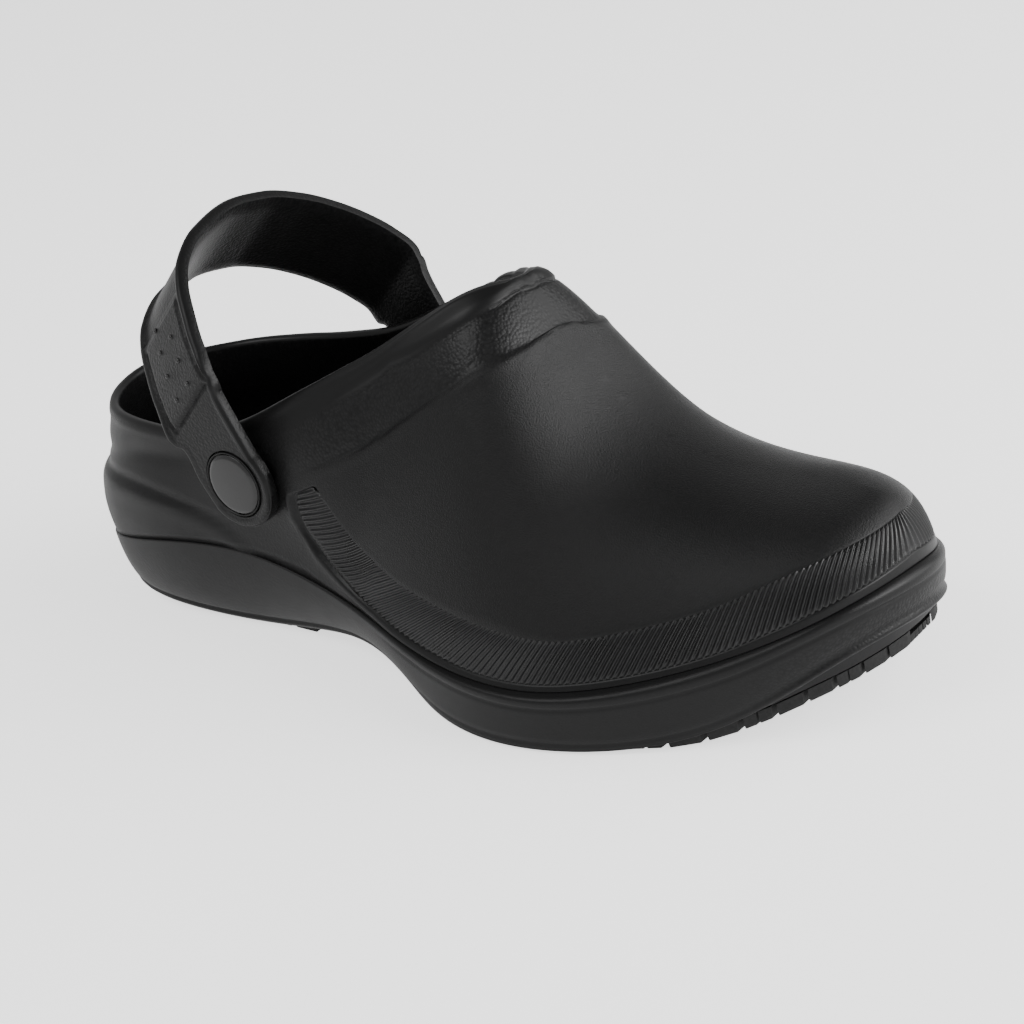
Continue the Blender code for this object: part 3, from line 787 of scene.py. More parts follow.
BADGE = Finish("badge_gloss", (0.002, 0.002, 0.0022), (0.003, 0.003, 0.0033), 0.08, 0.12, masked=False,
               pebble_height=0.0, spark_height=0.0, coat=0.02, coat_roughness=0.05, specular=0.01)
DOT = Finish("dot_half_gloss", (0.006, 0.006, 0.006), (0.010, 0.010, 0.010), 0.20, 0.26, masked=False,
             pebble_height=0.0, spark_height=0.0, specular=0.6)


# Sub-assemblies


@dataclass
class Upper:
    """The hollow moulded upper with its rim strip, creases and the recess of the ribbed band."""

    last: Last
    columns: Columns = field(default_factory=Columns)
    rib_low: Line = ((0, 0.04), (3.4, 0.20), (3.58, 0.19), (3.63, 0.133), (3.75, 0.077), (3.98, 0.037),
                     (4.24, 0.02), (4.63, 0.01), (5.66, 0.012), (6.55, 0.02), (7.2, 0.026), (7.56, 0.037),
                     (8.4, 0.048), (8.88, 0.065), (9, 0.07))
    rib_top: Line = ((0, 0.19), (3.5, 0.31), (3.64, 0.325), (3.83, 0.335), (3.92, 0.264), (4.02, 0.20),
                     (4.19, 0.148), (4.4, 0.12), (4.68, 0.108), (4.97, 0.107), (5.3, 0.113), (5.84, 0.135),
                     (6.12, 0.148), (6.56, 0.185), (7.23, 0.24), (7.61, 0.292), (8.03, 0.342),
                     (8.54, 0.395), (9, 0.44))
    crease: Line = ((0, 0.42), (3.5, 0.43), (3.9, 0.39), (4.15, 0.379), (4.31, 0.388), (4.44, 0.42),
                    (4.61, 0.464), (4.79, 0.51), (4.97, 0.557), (5.12, 0.615), (5.22, 0.665), (5.28, 0.70),
                    (5.37, 0.778), (5.43, 0.856), (5.455, 0.93), (5.465, 1.0), (9, 1.0))
    strip: Line = ((0, 0.565), (3.65, 0.575), (3.9, 0.567), (4.21, 0.557), (4.44, 0.596), (4.68, 0.662),
                   (4.87, 0.727), (5.01, 0.80), (5.08, 0.86), (5.1, 0.91), (5.108, 1.0), (9, 1.0))
    heel_fold: Line = ((0, 0.60), (1.2, 0.59), (1.65, 0.555), (1.92, 0.51), (2.2, 0.425), (2.42, 0.34),
                       (2.62, 0.255), (2.82, 0.16), (3.0, 0.06), (3.2, 0.0))
    heel_rim: Line = ((0, 0.73), (1.32, 0.755), (1.9, 0.835), (2.45, 0.86), (3.0, 0.87))
    rib_depth: float = 1.0
    rib_edge: float = 1.3
    rib_end: tuple[float, float] = (3.585, 3.635)
    band_depth: float = 0.7
    band_edge: float = 1.0
    lip_height: float = 0.55
    lip_width: float = 0.9
    lip_drop: float = 1.1
    lip_back: float = 0.02
    lip_start: tuple[float, float] = (3.6, 3.72)
    lip_end: tuple[float, float] = (4.7, 5.8)
    band_over: float = 0.2
    strip_edge: float = 0.7
    far_off: float = 99.0
    station_length: float = 42
    strip_height: float = 0.5
    strip_round: float = 2.5
    rib_from: float = 3.55
    crease_span: tuple[float, float] = (3.5, 5.465)
    strip_span: tuple[float, float] = (3.3, 5.108)
    creases: tuple[Crease, ...] = (
        Crease("crease", 0.5, 0.6, -0.35, BAND_START, (4.9, 5.2)),
        Crease("crease", -1.6, 1.2, 0.3, BAND_START),
        Crease("strip", -0.5, 0.5, -0.3, BAND_START),
        Crease("heel_fold", 0.4, 1.3, -0.75, fade_out=(2.7, 3.3)),
        Crease("heel_fold", -3.5, 2.6, 0.55, fade_out=(2.7, 3.3)),
        Crease("heel_rim", 0, 2.0, -0.5, fade_out=(2.3, 3.0)),
        Crease("heel_rim", 5, 3.0, 0.45, fade_out=(2.6, 3.4)),
        Crease("rim", -1.4, 0.9, 0.25, fade_out=(4.6, 5)),
    )
    pebble_start: tuple[float, float] = (3.3, 3.9)
    rear_start: tuple[float, float] = (2.6, 3.3)
    rear_end: tuple[float, float] = (3.6, 4.3)
    rear_pebble: float = 0.45
    vamp_spark: float = 0.55
    spark_rise: tuple[float, float] = (3.5, 4.2)
    heel_spark: float = 0.4
    heel_spark_end: tuple[float, float] = (3.4, 3.8)
    line_edge: float = 0.022
    row_plan: tuple[int, ...] = (6, 5, 9, 5, 38, 16, 12)
    inner_rows: int = 22
    line_points: int = 700
    crest_rows: int = 7
    rim_round: float = 1.5

    def relative(self, share: Array, w: Array) -> Array:
        """Profile parameters of places given as shares of the closed profile."""
        cut = self.last.trim(-np.maximum(np.abs(np.asarray(w, float)), self.last.trim_span[1]))
        return np.minimum(share / cut, 1.0)

    def line(self, table: Line, w: Array) -> Array:
        """Profile parameters of a line whose table gives shares of the closed profile."""
        return self.relative(smooth_line(table, np.abs(np.asarray(w, float))), w)

    def distance(self, w: Array, t: Array, grid: Array, table: Line, span: tuple[float, float]) -> Array:
        """Distance of each point from a line on the outer face, negative below the line.

        Args:
            w: Ring parameters.
            t: Profile parameters by ring position and row.
            grid: Plain points in the same layout.
            table: Rows of station and profile parameter of the line.
            span: Stations between which the line is measured.

        Returns:
            One distance per point, in millimetres.
        """
        station = np.linspace(*span, self.line_points)
        place = self.line(table, station)[:, None]
        line = np.concatenate([self.last.upper(side.value * station, place)[:, 0] for side in Side])
        sign = np.where(t > self.line(table, w)[:, None] + TINY, 1.0, -1.0)
        far = np.full(t.shape, self.far_off)
        for i in np.where((np.abs(w) > span[0] - 0.5) & (np.abs(w) < span[1] + 0.5))[0]:
            far[i] = np.linalg.norm(grid[i][:, None] - line[None], axis=2).min(1)
        return sign * far

    def rows(self, w: Array) -> tuple[Array, dict[str, int]]:
        """Profile parameters of the outer face, with the row of each line.

        Args:
            w: Ring parameters.

        Returns:
            Profile parameters by ring position and row, and the row index of each named line.
        """
        low = self.line(self.rib_low, w)
        top = self.line(self.rib_top, w)
        fold = self.line(self.crease, w)
        strip = np.maximum(self.line(self.strip, w), fold)
        edge = self.line_edge
        marks = [np.zeros(len(w)), low, low + edge, top - edge, top, fold, strip, np.ones(len(w))]
        names = ("foot", "low", "low_in", "top_in", "top", "crease", "strip", "rim")
        blocks = []
        index = {"foot": 0}
        count = 0
        for first, second, name, steps in zip(marks[:-1], marks[1:], names[1:], self.row_plan):
            share = np.linspace(0, 1, steps, endpoint=False)[None, :]
            blocks.append(first[:, None] * (1 - share) + second[:, None] * share)
            count += steps
            index[name] = count
        blocks.append(marks[-1][:, None])
        return np.concatenate(blocks, 1), index

    def relief(self, w: Array, t: Array, grid: Array, index: dict[str, int]) -> Array:
        """Height of the moulded relief above the plain form, in millimetres.

        Args:
            w: Ring parameters.
            t: Profile parameters by ring position and row.
            grid: Plain points in the same layout.
            index: Row of each named line.

        Returns:
            One height per point.
        """
        station = np.abs(w)[:, None]
        run = np.linalg.norm(np.diff(grid, axis=1), axis=2)
        length = np.concatenate([np.zeros((len(w), 1)), np.cumsum(run, axis=1)], 1)

        def above(table_or_row: Line | str) -> Array:
            """Distance above a line along each profile."""
            if isinstance(table_or_row, str):
                place = length[:, index[table_or_row]]
            else:
                line = smooth_line(table_or_row, np.abs(w))
                place = np.array([np.interp(v, row, far) for v, row, far in zip(line, t, length)])
            return length - place[:, None]

        span = (self.rib_from, float(self.last.end))
        low = self.distance(w, t, grid, self.rib_low, span)
        top = self.distance(w, t, grid, self.rib_top, span)
        fold = self.distance(w, t, grid, self.crease, self.crease_span)
        strip = self.distance(w, t, grid, self.strip, self.strip_span)
        rim = above("rim")
        lines = {"crease": fold, "strip": strip, "rim": rim, "heel_fold": above(self.heel_fold),
                 "heel_rim": above(self.heel_rim)}
        height = crease_height(self.creases, lines, station)
        inside = ramp(low, 0, self.rib_edge) * (1 - ramp(top, -self.rib_edge, 0))
        height -= self.rib_depth * inside * ramp(station, *self.rib_end)
        lip_fade = ramp(station, *self.lip_start) * (1 - ramp(station, *self.lip_end))
        lower_lip = bell(low + self.lip_drop, self.lip_width) * lip_fade
        behind = (station - self.rib_end[0] + self.lip_back) * self.station_length
        end_lip = bell(behind, self.lip_width) * ramp(low, -2, 0) * (1 - ramp(top, -2, 2))
        height += self.lip_height * np.maximum(lower_lip, end_lip)
        band = ramp(station, *BAND_START)
        between = ramp(fold, -self.band_edge, self.band_over) * (1 - ramp(strip, -self.strip_edge, 0))
        height -= self.band_depth * between * band
        swell = ramp(strip, 0, self.strip_round) * (1 - ramp(rim, -self.strip_round, 0))
        return height + self.strip_height * swell * band

    def masks(self, w: Array, t: Array, index: dict[str, int]) -> tuple[Array, Array]:
        """Shares of leather grain and fine grain over the outer face."""
        station = np.abs(w)[:, None]
        row = np.arange(t.shape[1])[None, :]
        fold = self.line(self.crease, w)[:, None]
        strip = self.line(self.strip, w)[:, None]
        band = (t > fold) & (t < strip - TINY)
        vamp = (row >= index["top"]) & (t <= fold)
        rear = ramp(station, *self.rear_start) * (1 - ramp(station, *self.rear_end))
        pebble = np.where(band, 1.0, 0.0) * ramp(station, *self.pebble_start)
        below = np.where(row < index["strip"], 1, 0)
        pebble = np.maximum(pebble, self.rear_pebble * rear * below)
        rise = self.vamp_spark + (1 - self.vamp_spark) * ramp(station, *self.spark_rise)
        heel = self.heel_spark * (1 - ramp(station, *self.heel_spark_end))
        spark = np.maximum(np.where(vamp, 1.0, 0.0) * rise, heel)
        return pebble + 0 * t, spark + 0 * t

    def build(self) -> bpy.types.Object:
        """Builds the mesh of the upper.

        Returns:
            The linked object.
        """
        last = self.last
        w = self.columns.ring()
        t, index = self.rows(w)
        plain = self.last.upper(w, t)
        normal = grid_normals(plain)
        outer = plain + normal * self.relief(w, t, plain, index)[:, :, None]
        inner = last.inner_wall(w, np.linspace(0, 1, self.inner_rows))
        pebble, spark = self.masks(w, t, index)
        # The inner wall takes full leather and fine grain. The grain is the lining's own, but the lighter
        # colour that full grain gives it is also painted light in the dim hollow of the shoe.
        inside = np.ones(inner.shape[:2])
        rows = np.concatenate([outer.transpose(1, 0, 2)[::-1], inner.transpose(1, 0, 2)])
        maker = MeshMaker("upper_shell")
        grains = [np.concatenate([share.T[::-1], inside.T]) for share in (pebble, spark)]
        maker.grid(rows, True, *grains)
        span = np.where(np.abs(w) <= last.throat + 1e-6)[0]
        outside = outer[span, -1]
        within = inner[span, -1]
        along = np.gradient(outside, axis=0)
        along[0] = (0, -1, 0)
        along[-1] = (0, -1, 0)
        away = np.cross(along, normal[span, -1])
        away /= np.linalg.norm(away, axis=1)[:, None]
        middle = (outside + within) / 2
        half = (outside - within) / 2
        crest = []
        for angle in np.linspace(0, math.pi, self.crest_rows):
            crest.append(middle + half * math.cos(angle) + away * self.rim_round * math.sin(angle))
        maker.grid(np.stack(crest), False)
        return maker.finish()

    def dress(self, item: bpy.types.Object) -> None:
        """Gives the upper its finish and its place in the frame."""
        item.data.materials.append(FOAM.material())
        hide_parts("upper")
        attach(item, BODY)


@dataclass
class Midsole:
    """The moulded sole band under the upper, with its ledge, lips and footbed."""

    last: Last
    columns: Columns = field(default_factory=Columns)
    under_columns: int = 6
    seat_gap: float = 0.05
    cove: Line = ((0.5, 3.0), (0.9, 1.4), (1.6, 0.4), (2.6, 0))
    edge_round: Line = ((0, 0.9), (4, 0.9), (6, 1.3), (7.2, 2.0), (9, 2.4))
    round_share: float = 0.8
    round_steps: int = 8
    near: float = 0.1
    lip_lift: float = 0.1
    wall_steps: int = 12
    side_spark: float = 0.35
    bed_spark: float = 0.3
    grain_top: tuple[float, float] = (2.4, 3.4)
    grain_base: tuple[float, float] = (0.8, 2.0)
    toe_grain: tuple[float, float] = (6.9, 8.0)
    heel_grain: float = 0.35
    creases: tuple[Crease, ...] = (
        Crease("down", 1.5, 0.35, -0.35, (4.2, 4.8)),
        Crease("up", 0.9, 0.8, 0.8, TOE_START),
        Crease("up", 3.0, 0.8, -0.3, TOE_START),
        Crease("up", 3.2, 0.55, -0.8, fade_out=HEEL_END),
        Crease("up", 1.6, 0.7, 0.35, fade_out=HEEL_END),
        Crease("up", 2.2, 0.4, -0.3, HEEL_END, TOE_START),
    )
    ledge_shares: tuple[float, ...] = (0.75, 0.5, 0.25)
    side_shares: tuple[float, ...] = (
        0, 0.02, 0.05, 0.08, 0.11, 0.14, 0.17, 0.2, 0.26, 0.34, 0.44, 0.54, 0.64, 0.72, 0.78, 0.83, 0.87,
        0.9, 0.93, 0.96, 0.985, 1,
    )

    def side(self, w: Array) -> tuple[list[Array], list[Array]]:
        """Rings from the ledge down the side of the sole, with the share of leather grain of each.

        Args:
            w: Ring parameters.

        Returns:
            Rings of points and one grain value per point of each ring.
        """
        last = self.last
        station = np.abs(w)
        points, inward = last.outline(w)
        top = last.ledge(w)
        base = top - last.value("height", w)
        inset = last.value("inset", w)
        step = last.value("step", w)
        radius = np.minimum(smooth_line(self.edge_round, station), self.round_share * step)

        def side_at(s: Array) -> Array:
            """Points of the plain side, from its top edge at 0 to its base at 1."""
            across = inset * (2 * s * (1 - s) * last.side_bulge + s * s)
            waist = base + last.side_waist * (top - base)
            z = top * (1 - s) ** 2 + 2 * s * (1 - s) * waist + base * s * s
            return np.column_stack([points + inward * across[:, None], z])

        none = np.zeros(len(w))
        corner = side_at(none)
        speed = np.linalg.norm(side_at(none + self.near) - corner, axis=1) / self.near
        begin = radius / speed
        inner = last.inset_ring(w, radius, top + last.ledge_slope * radius)
        rings = []
        for share in self.ledge_shares:
            far = radius + (step - radius) * share
            rings.append(last.inset_ring(w, far, top + last.ledge_slope * far))
        for q in np.linspace(0, 1, self.round_steps)[:-1]:
            rings.append((1 - q) ** 2 * inner + 2 * q * (1 - q) * corner + q * q * side_at(begin))
        grains = [none] * len(rings)
        stack = np.stack([side_at(begin + (1 - begin) * share) for share in self.side_shares], 1)
        run = np.linalg.norm(np.diff(stack, axis=1), axis=2)
        down = np.concatenate([np.zeros((len(w), 1)), np.cumsum(run, axis=1)], 1)
        up = down[:, -1:] - down
        push = crease_height(self.creases, {"down": down, "up": up}, station[:, None])
        grain = np.maximum(ramp(station, *self.toe_grain), self.heel_grain * (1 - ramp(station, *HEEL_END)))
        for k in range(stack.shape[1]):
            ring = stack[:, k].copy()
            ring[:, :2] -= inward * push[:, k:k + 1]
            rings.append(ring)
            grains.append(grain * ramp(down[:, k], *self.grain_top) * ramp(up[:, k], *self.grain_base))
        rings.append(last.inset_ring(w, inset + last.lip_width, base + self.lip_lift))
        wall = last.inset_ring(w, inset + last.lip_width + last.recess_draft, base)
        wall[:, 2] = last.ceiling(wall[:, 0])
        rings.append(wall)
        return rings, grains + [none, none]

    def build(self) -> bpy.types.Object:
        """Builds the mesh of the midsole.

        Returns:
            The linked object.
        """
        last = self.last
        w = self.columns.ring()
        inner = last.inner_wall(w, np.linspace(0, 1, self.wall_steps))
        drop = (0, 0, self.seat_gap)
        seat = last.foot_ring(w) - drop
        seat_in = inner[:, 0] - drop
        rings, grains = self.side(w)
        blank = np.zeros(len(w))
        maker = MeshMaker("midsole_band")
        pebble = np.stack([blank, blank] + grains)
        maker.grid(np.stack([seat_in, seat] + rings), True, pebble, self.side_spark)
        maker.grid(bridge(rings[-1], self.under_columns, last.ceiling), False)
        cove = [last.footbed_ring(w, inner, inset, lift) for inset, lift in self.cove]
        maker.grid(np.stack([seat_in] + cove), True, 1.0, self.bed_spark)
        bed = bridge(cove[-1], self.under_columns, last.footbed_height)
        maker.grid(bed, False, 1.0, self.bed_spark)
        return maker.finish()

    def dress(self, item: bpy.types.Object) -> None:
        """Gives the midsole the upper's finish and its place in the frame."""
        item.data.materials.append(bpy.data.materials[FOAM.name])
        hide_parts("midsole")
        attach(item, BODY)


@dataclass
class RibBand:
    """The ribbed inlay that fills the recessed band round the forefoot."""

    upper: Upper
    rear: tuple[tuple[float, float, float, float], ...] = (
        (3.70, 0.332, 3.80, 0.334), (3.662, 0.281, 3.885, 0.288), (3.653, 0.234, 3.94, 0.253),
        (3.674, 0.169, 4.039, 0.210), (3.725, 0.1305, 4.119, 0.182), (3.808, 0.088, 4.23, 0.154),
        (3.896, 0.061, 4.402, 0.135), (4.038, 0.038, 4.591, 0.124),
    )
    front: tuple[float, ...] = (4.2, 4.5, 4.8, 5.1, 5.4, 5.7, 6, 6.4, 6.8, 7.2, 7.6, 8, 8.3, 8.6, 8.8, 9)
    slant: Line = ((4.2, 0.54), (4.55, 0.52), (5.2, 0.36), (5.9, 0.21), (7, 0.2), (8, 0.21), (8.5, 0.2),
                   (8.8, 0.12), (9, 0.0))
    pitch: Line = ((3.7, 1.7), (4, 1.7), (4.4, 1.95), (4.9, 2.3), (5.4, 2.05), (5.9, 1.9), (6.4, 1.88),
                   (6.9, 1.95), (7.4, 2.05), (8, 1.88), (9, 1.9))
    per_rib: int = 8
    rows: int = 15
    level: float = 0.02
    groove: float = 0.7
    valley_power: float = 1.5
    edge_drop: float = 0.25
    low_fade: float = 0.08
    top_fade: float = 0.93
    low_edge: float = 0.04
    top_edge: float = 0.97
    spark: float = 0.3
    under: float = 1.4
    fine_steps: int = 3000

    def ends(self) -> tuple[Array, Array]:
        """Lower and upper end of the ribs in fine steps from the rear of the band to the toe.

        Returns:
            Rows of station and profile share of both ends, and the rib count up to each row.
        """
        last = self.upper.last
        station = np.array(self.front, float)
        ahead = np.minimum(station + smooth_line(self.slant, station), last.end)
        low = smooth_line(self.upper.rib_low, station)
        top = smooth_line(self.upper.rib_top, ahead)
        rows = np.concatenate([np.array(self.rear), np.column_stack([station, low, ahead, top])])
        fine = open_spline(rows, np.linspace(0, len(rows) - 1, self.fine_steps))
        fine[:, [0, 2]] = np.minimum(fine[:, [0, 2]], last.end)
        middle = (fine[:, 0] + fine[:, 2]) / 2
        share = (fine[:, 1] + fine[:, 3]) / 2
        ring = last.upper(-middle, self.upper.relative(share, middle)[:, None])[:, 0]
        run = np.linalg.norm(np.diff(ring, axis=0), axis=1)
        count = np.concatenate([[0], np.cumsum(run / smooth_line(self.pitch, middle[1:]))])
        count *= round(count[-1]) / count[-1]
        phase = np.linspace(0, round(count[-1]), round(count[-1]) * self.per_rib + 1)
        return np.column_stack([np.interp(phase, count, fine[:, k]) for k in range(4)]), phase

    def patch(self, maker: MeshMaker, side: Side) -> None:
        """Adds the ribbed inlay of one side.

        Args:
            maker: Mesh that takes the inlay.
            side: Side of the shoe.
        """
        rows, phase = self.ends()
        v = np.linspace(0, 1, self.rows)[None, :]
        w = rows[:, :1] * (1 - v) + rows[:, 2:3] * v
        share = rows[:, 1:2] * (1 - v) + rows[:, 3:] * v
        t = np.stack([self.upper.relative(share[:, k], w[:, k]) for k in range(self.rows)], 1)
        form = self.upper.last.upper
        base = np.stack([form(side.value * w[:, k], t[:, k:k + 1])[:, 0] for k in range(self.rows)], 1)
        normal = np.cross(np.gradient(base, axis=0), np.gradient(base, axis=1)) * -side.value
        normal /= np.linalg.norm(normal, axis=2)[:, :, None]
        valley = np.abs(np.sin(math.pi * phase))[:, None] ** self.valley_power
        ends = ramp(v, 0, self.low_fade) * (1 - ramp(v, self.top_fade, 1))
        edge = 1 - ramp(v, 0, self.low_edge) * (1 - ramp(v, self.top_edge, 1))
        height = -self.level - self.groove * valley * ends - self.edge_drop * edge
        face = base + normal * height[:, :, None]
        back = (base - normal * self.under)[:, [-1, 0]]
        index = maker.grid(np.concatenate([face, back], 1), True, 0.0, self.spark)
        maker.fan(index[0])
        maker.fan(index[-1])

    def build(self) -> bpy.types.Object:
        """Builds the inlays of both sides as one mesh."""
        maker = MeshMaker("rib_band")
        for side in Side:
            self.patch(maker, side)
        return maker.finish()

    def dress(self, item: bpy.types.Object) -> None:
        """Gives the ribs their smoother finish and the upper's place."""
        item.data.materials.append(RIB.material())
        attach(item, BODY)


@dataclass
class Outsole:
    """Rubber plate with lugs, set into the underside."""

    last: Last
    stations: int = 36
    columns: int = 7
    groove: float = 0.1
    edge: float = 0.03
    smooth_arch: tuple[float, float] = (-50, 22)
    plate_inset: float = 2.6
    root: float = 0.3
    root_draft: float = -0.01
    lug_steps: Line = ((0, 1.0), (0.012, 0.25), (0.035, 0.05), (0.06, 0.0))
    slit: float = 0.04
    sharp: float = 40

    def ring(self, deeper: float) -> Array:
        """Ring inside the edge of the lugs, starting at the toe tip."""
        last = self.last
        w = -last.end + last.end * np.arange(2 * self.stations) / self.stations
        inset = last.value("inset", w) + last.lip_width + last.recess_draft + last.gap + deeper
        return last.inset_ring(w, inset, np.zeros(len(w)))

    def lug(self, maker: MeshMaker, corners: Array, edges: tuple[float, float], split: bool,
            tall: float) -> None:
        """Adds one lug with rounded edges and, on some, a fine slit.

        Args:
            maker: Mesh that takes the lug.
            corners: The four corners of its cell on the plate.
            edges: Margins of the cell at its outer and inner side.
            split: Whether a slit runs across it.
            tall: Height of its root above its foot.
        """
        low_a, high_a = self.groove, 1 - self.groove
        spans = [(low_a, high_a)]
        if split:
            middle = (low_a + high_a) / 2
            spans = [(low_a, middle - self.slit), (middle + self.slit, high_a)]
        for first, second in spans:
            rows = []
            for draft, lift in ((self.root_draft, tall), *self.lug_steps):
                spots = []
                for a, b in ((0, 0), (0, 1), (1, 1), (1, 0)):
                    u = first + draft if a == 0 else second - draft
                    v = edges[0] + draft if b == 0 else 1 - edges[1] - draft
                    near = corners[0] * (1 - v) + corners[1] * v
                    far = corners[3] * (1 - v) + corners[2] * v
                    spots.append(near * (1 - u) + far * u)
                spots = np.array(spots)
                spots[:, 2] = self.last.tread_height(spots[:, 0]) + lift
                rows.append(spots)
            index = maker.grid(np.stack(rows), True)
            maker.fan(index[0])
            maker.fan(index[-1])

    def build(self) -> bpy.types.Object:
        """Builds the plate and its lugs as one joined mesh."""
        last = self.last
        rim = self.ring(self.plate_inset)
        maker = MeshMaker("outsole_tread")
        top = np.column_stack([rim[:, :2], last.plate_top(rim[:, 0])])
        low = np.column_stack([rim[:, :2], last.tread_height(rim[:, 0]) + last.lug_depth])
        maker.grid(np.stack([top, low]), True)
        maker.grid(bridge(top, self.columns, last.plate_top), False)
        maker.grid(bridge(low, self.columns, lambda x: last.tread_height(x) + last.lug_depth), False)
        edge = self.ring(0)
        edge[:, 2] = last.tread_height(edge[:, 0])
        floor = bridge(edge, self.columns, last.tread_height)
        for i in range(1, self.stations - 1):
            for k in range(self.columns):
                corners = np.array([floor[i, k], floor[i, k + 1], floor[i + 1, k + 1], floor[i + 1, k]])
                if self.smooth_arch[0] < corners[:, 0].mean() < self.smooth_arch[1]:
                    continue
                sides = (k == 0, k == self.columns - 1)
                edges = tuple(self.edge if outer else self.groove for outer in sides)
                middle = corners.mean(0)
                tall = last.lug_depth + self.root
                if any(sides):
                    tall = float(last.plate_top(middle[:1])[0] - middle[2]) - self.root
                self.lug(maker, corners, edges, (i + k) % 3 == 0, tall)
        return maker.finish()

    def dress(self, item: bpy.types.Object) -> None:
        """Gives the outsole its finish and its place in the frame."""
        item.data.materials.append(RUBBER.material())
        item.data.set_sharp_from_angle(angle=math.radians(self.sharp))
        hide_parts("outsole")
        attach(item, BODY)


@dataclass
class Insole:
    """Loose footbed inside the shoe, with soft edges."""

    last: Last
    columns: Columns = field(default_factory=lambda: Columns(((0, 9, 150),)))
    inset: float = 3.6
    thickness: float = 3.0
    edge: Line = ((0.8, 0), (0.1, 0.6), (0, 1.6), (0.3, 2.5), (1.2, 3.0))
    wall_steps: int = 8
    across: int = 24

    def build(self) -> bpy.types.Object:
        """Builds the footbed."""
        last = self.last
        w = self.columns.ring()
        inner = last.inner_wall(w, np.linspace(0, 1, self.wall_steps))
        rings = []
        for inset, lift in self.edge:
            rings.append(last.footbed_ring(w, inner, self.inset + inset, last.gap + lift))
        maker = MeshMaker("insole_pad")
        maker.grid(np.stack(rings), True)
        low = last.gap
        high = last.gap + self.thickness
        maker.grid(bridge(rings[0], self.across, lambda x: last.footbed_height(x) + low), False)
        maker.grid(bridge(rings[-1], self.across, lambda x: last.footbed_height(x) + high), False)
        return maker.finish()

    def dress(self, item: bpy.types.Object) -> None:
        """Gives the footbed its finish and its place in the frame."""
        item.data.materials.append(INSOLE.material())
        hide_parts("insole")
        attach(item, BODY)


